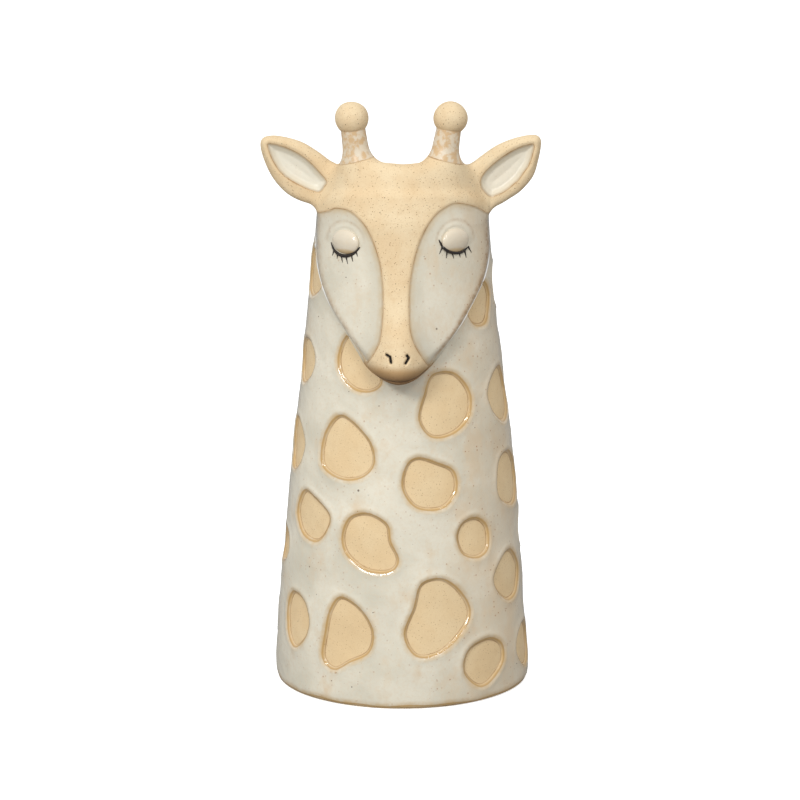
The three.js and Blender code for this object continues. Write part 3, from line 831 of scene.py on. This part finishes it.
def head_marks(points):
    """What the head's finish reads: bare clay, brown stain with painted shade under the muzzle, painted shade
    in the nostrils and mouth, thin glaze, a pooled glaze bead with a painted highlight, worn and soft sheen.
    """
    x, y, z = points.T
    parts, wall = head_parts(x, y, z)
    stems = np.minimum(parts["horn_stem_left"], parts["horn_stem_right"])
    rim = mask_edge(x, z)
    # Stain and painted shade: the muzzle browns towards its lower edge, partly the glaze's own colour, partly
    # painted shade under the muzzle.
    stain_and_shade = ease(184.0, 173.5, z) * hump(x - MUZZLE_X, 22.0) * ease(3.0, 0.0, rim)
    # Painted shade: the nostrils and the mouth's line turn near black where they are pressed in deepest.
    ink_and_groove_shade = ease(0.5, 1.5, np.where(np.abs(x) < 30.0, groove(x, z), 0.0)) * ease(170.0, 178.0, z)
    # Painted highlight: a white bead along the mask's fillet, kept to the heights on each side where light
    # would catch it; partly whiter pooled glaze, partly a painted glint.
    high = np.where(x < 0.0, ease(200.0, 218.0, z), ease(186.0, 206.0, z)) * ease(258.0, 246.0, z)
    pooled_glaze_highlight = hump(parts["face"] - wall - 0.4, 0.6) * high * ease(-7.0, -15.0, y)
    worn = np.where((np.abs(x) < EAR_FROM_X) & (z > 278.0), ease(5.0, 2.0, stems), 0.0)
    cups = np.maximum(*[ease(0.5, -1.5, cup_edge[side](x, z)) for side in ("left", "right")])
    return {
        "bare": head_bare(parts, stems, x, y, z),
        "stain_and_shade": 0.8 * stain_and_shade,
        "ink_and_groove_shade": ink_and_groove_shade,
        "thin": thin_glaze(wall - SKIN_DIP, x, y, z),
        "pooled_glaze_highlight": pooled_glaze_highlight,
        "worn": worn,
        "soft": np.maximum(worn, cups * ease(30.0, 36.0, np.abs(x))),
    }


def head_pieces(material):
    """The head's skin, cut where one modelled part takes over from the next."""
    points, faces = skin(head_field, SKIN_LOW, SKIN_HIGH, SKIN_STEP)
    for _ in range(2):
        points = settle(head_field, relaxed(points, faces, 0.5), 1, 0.4)
    points = settle(head_field, points, 2, 0.4)
    normals = unit(slopes(head_field, points, 0.3))
    parts, wall = head_parts(*points.T)
    names = list(parts)
    stacked = np.stack([parts[name] for name in names])
    label = np.argmin(stacked, axis=0)
    reach = np.array([STEM_FILLET if name.startswith("horn") else WALL_FILLET + 1.7 for name in names])
    x, y, z = points.T
    below_lip = (np.hypot(x, y) < 27.5) & (z - seat_and_lean(x, y, z) < NECK_HEIGHT - 4.4)
    shown = (np.min(stacked, axis=0) - wall < reach[label] + 0.1) & ~below_lip
    face_label = label[faces[:, 0]]
    face_shown = shown[faces].all(axis=1)
    for number, name in enumerate(names):
        own = faces[(face_label == number) & face_shown]
        shell_points, shell_faces, shell_normals, used = shell_of(points, normals, own)
        marks = {key: np.tile(value, 2) for key, value in head_marks(points[used]).items()}
        piece = add_piece(f"{name}_clay", shell_points, shell_faces, material, marks, shell_normals)
        slot = "glaze" if name.startswith("horn") else "bare_clay"
        place(piece, slot, "face_mask" if name == "face" else name)


def ball(divisions):
    """A round of evenly spread triangles."""
    bpy.ops.mesh.primitive_ico_sphere_add(subdivisions=divisions, radius=1.0)
    made = bpy.context.object
    points = np.array([vertex.co[:] for vertex in made.data.vertices])
    faces = [list(polygon.vertices) for polygon in made.data.polygons]
    bpy.data.objects.remove(made)
    return points, faces


def knob_piece(side, material):
    """A hand-rolled ball of clay pressed onto the stem."""
    points, faces = ball(6)
    x, y, z = points.T
    tip_x = HORN_SPOTS[side][1]
    uneven = 0.022 * np.sin(2.3 * x + 0.2 * tip_x) * np.cos(1.9 * z + 0.4) + 0.014 * np.sin(4.1 * y + z)
    size = KNOB_RADIUS * (1.0 + uneven)
    size = size * (1.0 - 0.05 * ease(-0.72, -1.0, z))
    squat = np.array([1.0, 1.0, 0.985])
    centre = np.array([tip_x, HORN_Y, KNOB_Z])
    piece = add_piece(f"horn_knob_{side}_clay", centre + points * squat * size[:, None], faces, material,
                      {"seat": ease(-0.55, -0.8, z)})
    place(piece, "bare_clay", f"horn_knob_{side}")


LID_HALF = np.array([6.9, 4.2, 6.3])
LID_SUNK = 0.6


def lid_plane(x, side):
    """The face's own slope under an eyelid, from a straight line across the eye."""
    middle_x, middle_z = EYES[side]
    slope = float(face_reach(middle_x + 1.0, middle_z) - face_reach(middle_x - 1.0, middle_z)) / 2.0
    return -(float(face_reach(middle_x, middle_z)) + slope * (x - middle_x)) + LID_SUNK


def eyelid_piece(side, material):
    """The closed lid: a smooth ball of clay with its lower edge thinned."""
    middle_x, middle_z = EYES[side]
    points, faces = ball(5)
    x, y, z = (points * LID_HALF).T
    lid = np.column_stack([middle_x + x, lid_plane(middle_x + x, side) + y, middle_z + z])
    edge = ease(-0.42, -0.7, points[:, 2] + 0.25 * points[:, 0] ** 2)
    piece = add_piece(f"eyelid_{side}_clay", lid, faces, material, {"edge": edge})
    place(piece, "glaze", f"eyelid_{side}")


def base_piece(material):
    """The slab that closes the foot, a little hollow below."""
    count = 96
    turn = np.arange(count) * 2.0 * math.pi / count
    section = flow([[0.01, 0.9], [20, 0.9], [45, 0.8], [58, 0.35], [60, 0.2], [60.7, 0.9], [60.7, 7.0],
                    [60.0, 7.9], [57, 8.1], [40, 8.3], [20, 8.5], [0.01, 8.6]], 3, closed=False)
    across, along = np.sin(turn), -np.cos(turn)
    rows = [np.column_stack([r * across, r * along, np.full(count, z)]) for r, z in section[1:-1]]
    points = np.vstack(rows + [[[0.0, 0.0, section[0, 1]], [0.0, 0.0, section[-1, 1]]]])
    grid = np.arange(len(rows) * count).reshape(len(rows), count)
    under, over = len(points) - 2, len(points) - 1
    first, last = grid[0], grid[-1]
    fans = [[under, int(first[(k + 1) % count]), int(first[k])] for k in range(count)]
    fans += [[over, int(last[k]), int(last[(k + 1) % count])] for k in range(count)]
    faces = ring_quads(grid).tolist() + fans
    piece = add_piece("base_disc_clay", points, faces, material, {"seat": np.zeros(len(points))})
    place(piece, "bare_clay", "base_disc")


# ---- lashes -------------------------------------------------------------------------------------
# Painted lines, [x, z] on the face: each eye's lid line, then its lashes.
LID_LINES = {
    "left": [[-36.4, 239.8], [-34.9, 236.4], [-32.4, 234.4], [-29.3, 233.9], [-26.4, 234.7], [-23.9, 236.4],
             [-21.5, 239]],
    "right": [[18.5, 243], [20.3, 239.7], [23.4, 237], [27.3, 235.7], [30.6, 235.9], [33.9, 238.2]],
}
LASHES = {
    "left": [[[-34.8, 236], [-35.8, 233.2]], [[-33, 234.5], [-33.3, 232]], [[-31.1, 233.9], [-30.5, 230.4]],
             [[-28.7, 233.9], [-27.8, 230]], [[-25.9, 234.8], [-25.2, 231.4]],
             [[-23.5, 236.6], [-22.7, 234.2]]],
    "right": [[[20.3, 239.5], [18.8, 235.8]], [[22.7, 237.2], [22.3, 233.4]], [[25.2, 236.2], [26.1, 233]],
              [[28.9, 235.6], [29.5, 233.2]], [[31.8, 236.1], [32.6, 232.6]], [[33.6, 238], [35.3, 234.8]]],
}


def on_face(points, side):
    """Lays a front-view line on the surface of the head."""
    x, z = points.T
    y = -(face_reach(x, z) + face_detail(x, z)) - 0.6
    laid = np.column_stack([x, y, z])
    for _ in range(6):
        laid[:, 1] += head_field(laid)
    middle_x, middle_z = EYES[side]
    off = 1.0 - ((x - middle_x) / LID_HALF[0]) ** 2 - ((z - middle_z) / LID_HALF[2]) ** 2
    on_lid = lid_plane(x, side) - LID_HALF[1] * np.sqrt(np.maximum(off, 0.0))
    laid[:, 1] = np.where(off > 0.0, np.minimum(laid[:, 1], on_lid), laid[:, 1]) - 0.12
    return laid


def lash_lines(side):
    """Point runs and their thickness shares for one eye."""
    lid = stretch_of(flow(LID_LINES[side], 6, closed=False), 0.5)
    share = np.linspace(-1.0, 1.0, len(lid))
    runs = [(on_face(lid, side), 0.25 + 0.85 * (1.0 - share ** 2) ** 0.8)]
    for lash in LASHES[side]:
        line = stretch_of(np.array(lash, float), 0.4)
        runs.append((on_face(line, side), np.linspace(0.62, 0.14, len(line))))
    return runs


def lash_tree():
    """Draws a round, tapering strand along every line of a mesh."""
    tree = bpy.data.node_groups.new("lash_strands", "GeometryNodeTree")
    tree.interface.new_socket("Geometry", in_out="INPUT", socket_type="NodeSocketGeometry")
    sizes = {"Thickness": 0.0005, "Sides": 8}
    for name, kind in (("Thickness", "NodeSocketFloat"), ("Sides", "NodeSocketInt")):
        tree.interface.new_socket(name, in_out="INPUT", socket_type=kind).default_value = sizes[name]
    tree.interface.new_socket("Paint", in_out="INPUT", socket_type="NodeSocketMaterial")
    tree.interface.new_socket("Geometry", in_out="OUTPUT", socket_type="NodeSocketGeometry")
    made = {}
    kinds = {
        "inward": "NodeGroupInput", "outward": "NodeGroupOutput", "curve": "GeometryNodeMeshToCurve",
        "taper": "GeometryNodeInputNamedAttribute", "radius": "GeometryNodeSetCurveRadius",
        "round": "GeometryNodeCurvePrimitiveCircle", "strand": "GeometryNodeCurveToMesh",
        "real": "GeometryNodeRealizeInstances", "paint": "GeometryNodeSetMaterial",
    }
    for name, kind in kinds.items():
        made[name] = tree.nodes.new(kind)
    made["taper"].data_type = "FLOAT"
    made["taper"].inputs["Name"].default_value = "taper"
    made["strand"].inputs["Fill Caps"].default_value = True
    links = [
        ("inward", "Geometry", "curve", "Mesh"), ("curve", "Curve", "radius", "Curve"),
        ("taper", "Attribute", "radius", "Radius"), ("radius", "Curve", "strand", "Curve"),
        ("inward", "Sides", "round", "Resolution"), ("inward", "Thickness", "round", "Radius"),
        ("round", "Curve", "strand", "Profile Curve"), ("strand", "Mesh", "real", "Geometry"),
        ("real", "Geometry", "paint", "Geometry"), ("inward", "Paint", "paint", "Material"),
        ("paint", "Geometry", "outward", "Geometry"),
    ]
    for start, output, end, socket in links:
        tree.links.new(made[start].outputs[output], made[end].inputs[socket])
    if "Scale" in made["strand"].inputs:
        tree.links.new(made["taper"].outputs["Attribute"], made["strand"].inputs["Scale"])
    return tree


def lash_piece(side, tree, material):
    points, edges, taper = [], [], []
    for run, shares in lash_lines(side):
        first = sum(len(part) for part in points)
        points.append(run)
        taper.append(shares)
        edges += [(first + k, first + k + 1) for k in range(len(run) - 1)]
    mesh = bpy.data.meshes.new(f"lash_lines_{side}")
    mesh.from_pydata((np.vstack(points) * MM).tolist(), edges, [])
    mesh.attributes.new("taper", "FLOAT", "POINT").data.foreach_set(
        "value", np.concatenate(taper).astype(np.float32))
    lines = bpy.data.objects.new(f"lash_lines_{side}", mesh)
    bpy.context.scene.collection.objects.link(lines)
    modifier = lines.modifiers.new("strands", "NODES")
    modifier.node_group = tree
    wanted = {"Thickness": 0.00084, "Sides": 8, "Paint": material}
    for item in tree.interface.items_tree:
        if item.item_type == "SOCKET" and item.in_out == "INPUT" and item.name in wanted:
            modifier[item.identifier] = wanted[item.name]
    view = bpy.context.evaluated_depsgraph_get()
    solid = bpy.data.meshes.new_from_object(lines.evaluated_get(view), depsgraph=view)
    bpy.data.objects.remove(lines)
    solid.name = f"lashes_{side}"
    if not solid.materials:
        solid.materials.append(material)
    solid.polygons.foreach_set("use_smooth", np.ones(len(solid.polygons), bool))
    piece = bpy.data.objects.new(f"lashes_{side}", solid)
    bpy.context.scene.collection.objects.link(piece)
    place(piece, "glaze")


# ---- finishes -----------------------------------------------------------------------------------


class Value:
    """A shader number that takes part in Python arithmetic."""

    def __init__(self, recipe, socket):
        self.recipe = recipe
        self.socket = socket

    def math(self, operation, *values):
        node = self.recipe.node("ShaderNodeMath", {"operation": operation}, dict(enumerate(values)))
        return Value(self.recipe, node.outputs[0])

    def __add__(self, other):
        return self.math("ADD", self, other)

    def __radd__(self, other):
        return self.math("ADD", other, self)

    def __sub__(self, other):
        return self.math("SUBTRACT", self, other)

    def __rsub__(self, other):
        return self.math("SUBTRACT", other, self)

    def __mul__(self, other):
        return self.math("MULTIPLY", self, other)

    def __rmul__(self, other):
        return self.math("MULTIPLY", other, self)

    def __truediv__(self, other):
        return self.math("DIVIDE", self, other)

    def above(self, low, high):
        """0 below low and 1 above high, smooth in between."""
        node = self.recipe.node(
            "ShaderNodeMapRange", {"interpolation_type": "SMOOTHSTEP"},
            {"Value": self, "From Min": min(low, high), "From Max": max(low, high),
             "To Min": 0.0 if low < high else 1.0, "To Max": 1.0 if low < high else 0.0},
        )
        return Value(self.recipe, node.outputs["Result"])

    def most(self, other):
        return self.math("MAXIMUM", self, other)

    def least(self, other):
        return self.math("MINIMUM", self, other)

    def bell(self, middle, width):
        """1 at the middle, falling away smoothly on both sides."""
        off = (self - middle) / width
        return self.math("POWER", math.e, off * off * -1.0)


class Recipe:
    """The nodes of one finish."""

    def __init__(self, name):
        self.material = bpy.data.materials.new(name)
        self.material.use_nodes = True
        self.tree = self.material.node_tree
        self.tree.nodes.clear()
        self.place = self.node("ShaderNodeTexCoord").outputs["Object"]

    def node(self, kind, settings=None, inputs=None):
        made = self.tree.nodes.new(kind)
        for name, setting in (settings or {}).items():
            setattr(made, name, setting)
        for key, given in (inputs or {}).items():
            socket = made.inputs[key]
            given = given.socket if isinstance(given, Value) else given
            if isinstance(given, bpy.types.NodeSocket):
                self.tree.links.new(given, socket)
            else:
                socket.default_value = given
        return made

    def mark(self, name):
        return Value(self, self.node("ShaderNodeAttribute", {"attribute_name": name}).outputs["Fac"])

    def noise(self, size_mm, detail=2.0, roughness=0.5, stretch=(1.0, 1.0, 1.0), shift=0.0):
        """Soft random variation whose features are about size_mm across."""
        where = self.node("ShaderNodeMapping", None, {
            "Vector": self.place, "Location": (shift, 0.37 * shift, -0.61 * shift), "Scale": stretch,
        }).outputs["Vector"]
        made = self.node("ShaderNodeTexNoise", None, {
            "Vector": where, "Scale": 1.0 / (size_mm * MM), "Detail": detail, "Roughness": roughness,
        })
        return Value(self, made.outputs["Fac"])

    def dots(self, spacing_mm, size_share, share_kept, shift=0.0):
        """Scattered round specks, 1 in a speck."""
        where = self.node("ShaderNodeMapping", None, {
            "Vector": self.place, "Location": (shift, -shift, 0.5 * shift),
        }).outputs["Vector"]
        made = self.node("ShaderNodeTexVoronoi", None, {"Vector": where, "Scale": 1.0 / (spacing_mm * MM)})
        tone = self.node("ShaderNodeSeparateColor", None, {"Color": made.outputs["Color"]})
        kept = Value(self, tone.outputs["Red"]).above(1.0 - share_kept, 1.0 - share_kept + 0.02)
        size = Value(self, tone.outputs["Green"]) * size_share * 0.7 + size_share * 0.3
        return (size - Value(self, made.outputs["Distance"])).above(0.0, 0.3 * size_share) * kept

    def blend(self, share, a, b):
        """A colour between a and b."""
        made = self.node("ShaderNodeMix", {"data_type": "RGBA"}, {0: share, 6: colour(a), 7: colour(b)})
        return made.outputs[2]

    def finish(self, colour_socket, roughness, height, relief_mm, painted_glow=None):
        """The finished surface; the optional emission colour is a painted glow, standing in for the highlight
        on a bead of thick glaze.
        """
        depth = relief_mm * MM
        bump = self.node("ShaderNodeBump", None, {"Height": height, "Strength": 1.0, "Distance": depth})
        shader = self.node("ShaderNodeBsdfPrincipled", None, {
            "Base Color": colour_socket, "Roughness": roughness, "Normal": bump.outputs["Normal"], "IOR": 1.5,
        })
        if painted_glow is not None:
            self.tree.links.new(painted_glow, shader.inputs["Emission Color"])
            shader.inputs["Emission Strength"].default_value = 1.0
        self.node("ShaderNodeOutputMaterial", None, {"Surface": shader.outputs["BSDF"]})
        return self.material


def colour(given):
    """Linear red, green and blue as a socket takes them; links pass straight through."""
    return (*given, 1.0) if isinstance(given, tuple) else given


GLAZE = (0.79, 0.74, 0.61)
GLAZE_COOL = (0.68, 0.64, 0.52)
GLAZE_WARM = (0.72, 0.575, 0.395)
GLAZE_THIN = (0.66, 0.475, 0.24)
GLAZE_BREAK = (0.36, 0.195, 0.075)
GLAZE_GOLD = (0.53, 0.33, 0.125)
# Painted shade: greyed glaze for the cheeks' shadow beside the raised bridge.
GLAZE_PAINTED_SHADE = (0.5, 0.455, 0.35)
GLAZE_WORN = (0.62, 0.42, 0.22)
GLAZE_THICK = (0.86, 0.82, 0.7)
CLAY = (0.745, 0.565, 0.34)
CLAY_PALE = (0.79, 0.635, 0.41)
CLAY_DARK = (0.58, 0.39, 0.2)
SPECK = (0.1, 0.055, 0.03)
# Muzzle browns: stain colour that also carries painted shade under the muzzle.
STAIN_AND_SHADE = (0.15, 0.066, 0.02)
STAIN_AND_SHADE_EDGE = (0.53, 0.315, 0.12)
# Near black for the nostrils and the mouth's line: painted shade in the grooves.
GROOVE_SHADE_BLACK = (0.014, 0.009, 0.006)
CLAY_SPOT = (0.83, 0.61, 0.33)
CLAY_GRAIN = (0.27, 0.15, 0.065)
FRECKLE = (0.42, 0.215, 0.105)
SEAT_BROWN = (0.5, 0.3, 0.13)
LID_CREAM = (0.76, 0.62, 0.46)
LASH_BLACK = (0.012, 0.009, 0.008)
LASH_BROWN = (0.07, 0.035, 0.018)
# Near-white bead and its emission: painted highlight and painted glow along the mask's fillet.
GLAZE_POOL_HIGHLIGHT = (0.98, 0.98, 0.96)
PAINTED_GLOW_COLOUR = (0.34, 0.34, 0.34)
STONEWARE_RELIEF = 0.28     # mm


def clay_colour(recipe):
    """Sandy stoneware: uneven tone, small dark grains and a few larger ones."""
    cloudy = recipe.noise(22.0, 3.0, 0.6, shift=0.3).above(0.36, 0.66)
    tone = recipe.blend(cloudy, CLAY, CLAY_PALE)
    patchy = recipe.noise(6.5, 3.0, 0.6, shift=0.8).above(0.5, 0.8) * 0.35
    tone = recipe.blend(patchy, tone, CLAY_DARK)
    grain = recipe.noise(0.7, 2.0, 0.7).above(0.5, 0.72) * 0.4
    tone = recipe.blend(grain, tone, CLAY_DARK)
    fine = recipe.dots(1.1, 0.3, 0.85) * 0.75
    tone = recipe.blend(fine, tone, CLAY_GRAIN)
    specks = recipe.dots(2.3, 0.16, 0.55, 0.3) * 0.8
    return recipe.blend(specks, tone, SPECK)


def glaze_colour(recipe, thin):
    """Milky glaze, greyer and warmer in clouds, tan where thin, with iron specks and pinholes."""
    cloudy = recipe.noise(30.0, 3.0, 0.55, shift=0.1).above(0.35, 0.68)
    tone = recipe.blend(cloudy, GLAZE, GLAZE_COOL)
    across = Value(recipe, recipe.node("ShaderNodeSeparateXYZ", None, {"Vector": recipe.place}).outputs["X"])
    tone = recipe.blend(across.above(0.012, 0.055) * 0.42, tone, GLAZE_WARM)
    one_side = across.above(-0.01, 0.05) * 0.11
    warm = (recipe.noise(14.0, 4.0, 0.65, (1.0, 1.0, 0.7), 0.9) + one_side).above(0.5, 0.78) * 0.75
    tone = recipe.blend(warm, tone, GLAZE_WARM)
    close = recipe.noise(1.6, 3.0, 0.6).above(0.42, 0.75) * 0.3
    tone = recipe.blend(close, tone, GLAZE_WARM)
    freckles = recipe.dots(2.3, 0.25, 0.65, 0.6) * (0.3 + warm * 0.9)
    tone = recipe.blend(freckles.least(1.0), tone, FRECKLE)
    tone = recipe.blend(thin, tone, GLAZE_BREAK)
    specks = recipe.dots(5.5, 0.085, 0.5, 0.4).most(recipe.dots(15.0, 0.05, 0.6, 0.2)) * 0.8
    return recipe.blend(specks, tone, SPECK)


def parting(recipe, run_down, waver):
    """Where glaze gives way to clay, run_down mm inside the bare mark, and what tints it near there."""
    bare = recipe.mark("bare")
    wobble = (recipe.noise(2.4, 3.0, 0.6) - 0.5) * waver
    uneven = recipe.noise(9.0, 2.0, 0.5, shift=0.55).above(0.32, 0.7)
    patchy = recipe.noise(3.2, 3.0, 0.6, shift=0.35).above(0.42, 0.6)
    return SimpleNamespace(
        bare=bare, uneven=uneven, patchy=patchy,
        is_clay=(bare + wobble).above(run_down - 0.16, run_down + 0.16),
        line=bare.bell(-0.3, 0.5) * (0.7 + patchy * 0.3 + uneven * 0.2),
        halo=(bare + wobble * 0.8).above(-3.6, -0.2) * (0.2 + uneven * 0.4 + patchy * 0.25),
        # inner_line: a brown line just inside the clay. On the neck's sunk spots it is partly the glaze's
        # edge and partly painted shade at the foot of the wall; on the head it is the glaze's edge.
        inner_line=bare.bell(run_down + 0.12, 0.36) * (0.5 + uneven * 0.45),
    )


def edged_glaze(recipe, edge, thin):
    """Glaze that turns tan towards the bare clay."""
    thin = edge.line.most(edge.halo * 0.4).most(thin)
    return recipe.blend(edge.halo, glaze_colour(recipe, thin.least(0.92)), GLAZE_THIN)


def sheen(recipe, is_clay):
    """Roughness: glossy glaze, dull clay."""
    return recipe.noise(4.0, 2.0).above(0.3, 0.7) * 0.07 + 0.07 + is_clay * 0.7


def tooth(recipe, is_clay):
    """Height of the fine surface: sandy clay, rippled glaze and a few pinholes."""
    grain = recipe.noise(0.75, 3.0, 0.65) * is_clay * 0.55
    ripple = recipe.noise(3.2, 2.0, 0.5) * (1.0 - is_clay) * 0.5
    pits = recipe.dots(6.0, 0.07, 0.3, 0.7) * (1.0 - is_clay) * -0.9
    return grain + ripple + pits


def neck_stoneware():
    """The neck: glaze that runs a little way down the side of every sunk spot."""
    recipe = Recipe("neck_stoneware")
    edge = parting(recipe, 0.6, 0.6)
    glaze = edged_glaze(recipe, edge, 0.0)
    glaze = recipe.blend(edge.bare.above(-0.2, 0.25) * (0.5 + edge.uneven * 0.35), glaze, GLAZE_THIN)
    glaze = recipe.blend(edge.bare.bell(-0.2, 0.42) * (0.6 + edge.uneven * 0.35), glaze, GLAZE_GOLD)
    clay = recipe.blend(0.45, clay_colour(recipe), CLAY_SPOT)
    # Brown line at the foot of each spot's wall: partly the glaze's edge, partly painted shade in the recess.
    clay = recipe.blend(edge.inner_line, clay, GLAZE_BREAK)
    tone = recipe.blend(edge.is_clay, glaze, clay)
    return recipe.finish(tone, sheen(recipe, edge.is_clay), tooth(recipe, edge.is_clay), STONEWARE_RELIEF)


def head_stoneware():
    """The head: glazed cheeks with painted shade by the bare clay, cups and stems, a muzzle stained brown
    with painted shade underneath, painted shade in the nostrils and mouth, and a pooled bead with a painted
    highlight and painted glow.
    """
    recipe = Recipe("head_stoneware")
    edge = parting(recipe, 0.0, 1.1)
    thin = recipe.mark("thin") * (0.28 + edge.patchy * 0.4 + edge.uneven * 0.25)
    glaze = edged_glaze(recipe, edge, thin)
    # Painted shade: glaze greys within about 13 mm of bare clay, as the raised bridge's shadow on the cheeks.
    glaze = recipe.blend(edge.bare.above(-13.0, -1.0) * 0.45, glaze, GLAZE_PAINTED_SHADE)
    glaze = recipe.blend(recipe.mark("soft") * 0.55, glaze, GLAZE_THICK)
    glaze = recipe.blend(recipe.mark("worn") * (0.34 + edge.patchy * 0.6), glaze, GLAZE_WORN)
    # Painted highlight: the pooled bead along the fillet turns near white.
    glaze = recipe.blend(recipe.mark("pooled_glaze_highlight"), glaze, GLAZE_POOL_HIGHLIGHT)
    clay = recipe.blend(edge.inner_line, clay_colour(recipe), GLAZE_BREAK)
    tone = recipe.blend(edge.is_clay, glaze, clay)
    # Muzzle stain, partly glaze colour and partly painted shade, darkest at the lower edge.
    stain_and_shade = recipe.mark("stain_and_shade")
    tone = recipe.blend(stain_and_shade.above(0.0, 0.4) * 0.75, tone, STAIN_AND_SHADE_EDGE)
    tone = recipe.blend(stain_and_shade, tone, STAIN_AND_SHADE)
    # Painted shade in the nostrils and the mouth's groove.
    tone = recipe.blend(recipe.mark("ink_and_groove_shade"), tone, GROOVE_SHADE_BLACK)
    rough = sheen(recipe, edge.is_clay) + recipe.mark("soft") * (1.0 - edge.is_clay) * 0.24
    # Painted glow: emission along the same bead stands in for its highlight, though the glaze is no lamp.
    painted_glow = recipe.blend(recipe.mark("pooled_glaze_highlight"), (0.0, 0.0, 0.0), PAINTED_GLOW_COLOUR)
    return recipe.finish(tone, rough, tooth(recipe, edge.is_clay), STONEWARE_RELIEF, painted_glow)


def bare_stoneware(name):
    """Unglazed clay, browner where a knob was pressed on."""
    recipe = Recipe(name)
    seat = recipe.mark("seat") * (0.25 + recipe.noise(5.0, 2.0) * 0.4)
    tone = recipe.blend(seat.least(0.9), clay_colour(recipe), SEAT_BROWN)
    grain = recipe.noise(0.8, 3.0, 0.65) * 0.6 + recipe.noise(4.5, 2.0) * 0.9
    rough = recipe.noise(3.0, 2.0) * 0.12 + 0.76
    return recipe.finish(tone, rough, grain, 0.26)


def lid_glaze(name):
    """The lids' glaze: thick and pale, gold along the lower edge."""
    recipe = Recipe(name)
    gold = (recipe.mark("edge") * (0.6 + recipe.noise(2.0, 2.0) * 0.5)).least(0.85)
    tone = recipe.blend(0.4, glaze_colour(recipe, gold * 0.3), LID_CREAM)
    tone = recipe.blend(gold, tone, GLAZE_THIN)
    rough = recipe.noise(3.0, 2.0) * 0.08 + 0.1
    return recipe.finish(tone, rough, recipe.noise(2.5, 2.0), 0.12)


def lash_paint(name):
    """Iron black brushed on under the glaze, a little brown where it is thin."""
    recipe = Recipe(name)
    brown = recipe.noise(0.9, 3.0).above(0.45, 0.75) * 0.6
    tone = recipe.blend(brown, LASH_BLACK, LASH_BROWN)
    rough = recipe.noise(1.2, 2.0) * 0.2 + 0.25
    return recipe.finish(tone, rough, recipe.noise(0.7, 2.0), 0.05)


# ---- studio -------------------------------------------------------------------------------------


FLOOR_REACH = 14000.0
FLOOR_SEEN = (0.97, 0.97, 0.97)
FLOOR_BOUNCE = (0.34, 0.34, 0.34)
FLOOR_GLOW = 0.62


def stage_floor():
    """A wide pale sweep that stays bright to the eye and gives little light back."""
    recipe = Recipe("pale_floor")
    seen = recipe.node("ShaderNodeLightPath").outputs["Is Camera Ray"]
    pale = recipe.node("ShaderNodeBsdfDiffuse", None, {"Color": colour(FLOOR_SEEN)})
    dull = recipe.node("ShaderNodeBsdfDiffuse", None, {"Color": colour(FLOOR_BOUNCE)})
    glow = recipe.node("ShaderNodeEmission", None, {"Strength": FLOOR_GLOW})
    lit = recipe.node("ShaderNodeAddShader", None, {0: pale.outputs[0], 1: glow.outputs[0]})
    both = recipe.node("ShaderNodeMixShader", None, {0: seen, 1: dull.outputs[0], 2: lit.outputs[0]})
    recipe.node("ShaderNodeOutputMaterial", None, {"Surface": both.outputs[0]})
    count = 48
    turn = np.arange(count) * 2.0 * math.pi / count
    points = FLOOR_REACH * np.column_stack([np.cos(turn), np.sin(turn), np.zeros(count)])
    floor = add_piece("floor", points, [list(range(count))], recipe.material)


def softbox(name, place_m, aim_m, width, height, watts):
    lamp = bpy.data.lights.new(name, "AREA")
    lamp.shape = "RECTANGLE"
    lamp.size = width
    lamp.size_y = height
    lamp.energy = watts
    made = bpy.data.objects.new(name, lamp)
    bpy.context.scene.collection.objects.link(made)
    made.location = place_m
    made.rotation_euler = (Vector(aim_m) - Vector(place_m)).to_track_quat("-Z", "Y").to_euler()


def studio():
    middle = (0.0, 0.0, 0.16)
    softbox("key_light", (-0.95, -1.7, 1.3), middle, 0.5, 0.4, 17.5)
    softbox("front_light", (0.35, -2.0, 1.35), middle, 0.6, 0.4, 6.5)
    softbox("top_light", (0.0, -1.15, 1.75), middle, 0.6, 0.09, 6.0)
    world = bpy.data.worlds.new("soft_room")
    world.use_nodes = True
    background = world.node_tree.nodes["Background"]
    background.inputs["Color"].default_value = (1.0, 1.0, 1.0, 1.0)
    background.inputs["Strength"].default_value = 0.69
    bpy.context.scene.world = world
    bpy.context.scene.view_settings.view_transform = "Standard"


def camera():
    """Eye level a little above the horns, looking slightly down."""
    lens = bpy.data.cameras.new("camera")
    lens.lens = 130.0
    lens.sensor_width = 36.0
    lens.clip_end = 60.0
    eye, aim = Vector((-0.0012, -1.5, 0.456)), Vector((-0.0012, 0.0, 0.15))
    made = bpy.data.objects.new("camera", lens)
    bpy.context.scene.collection.objects.link(made)
    made.location = eye
    made.rotation_euler = (aim - eye).to_track_quat("-Z", "Y").to_euler()
    bpy.context.scene.camera = made


# ---- assembly -----------------------------------------------------------------------------------
camera()
studio()
stage_floor()

clay = bare_stoneware("bare_stoneware")
neck_points, neck_faces, neck_bare = neck_mesh()
neck_finish = neck_stoneware()
neck_piece = add_piece("neck_wall_clay", neck_points, neck_faces, neck_finish, {"bare": neck_bare})
place(neck_piece, "glaze", "neck_wall")
base_piece(clay)
head_pieces(head_stoneware())
lids = lid_glaze("eyelid_glaze")
strands = lash_tree()
ink_and_groove_shade = lash_paint("lash_iron")
for side_name in ("left", "right"):
    knob_piece(side_name, clay)
    eyelid_piece(side_name, lids)
    lash_piece(side_name, strands, ink_and_groove_shade)
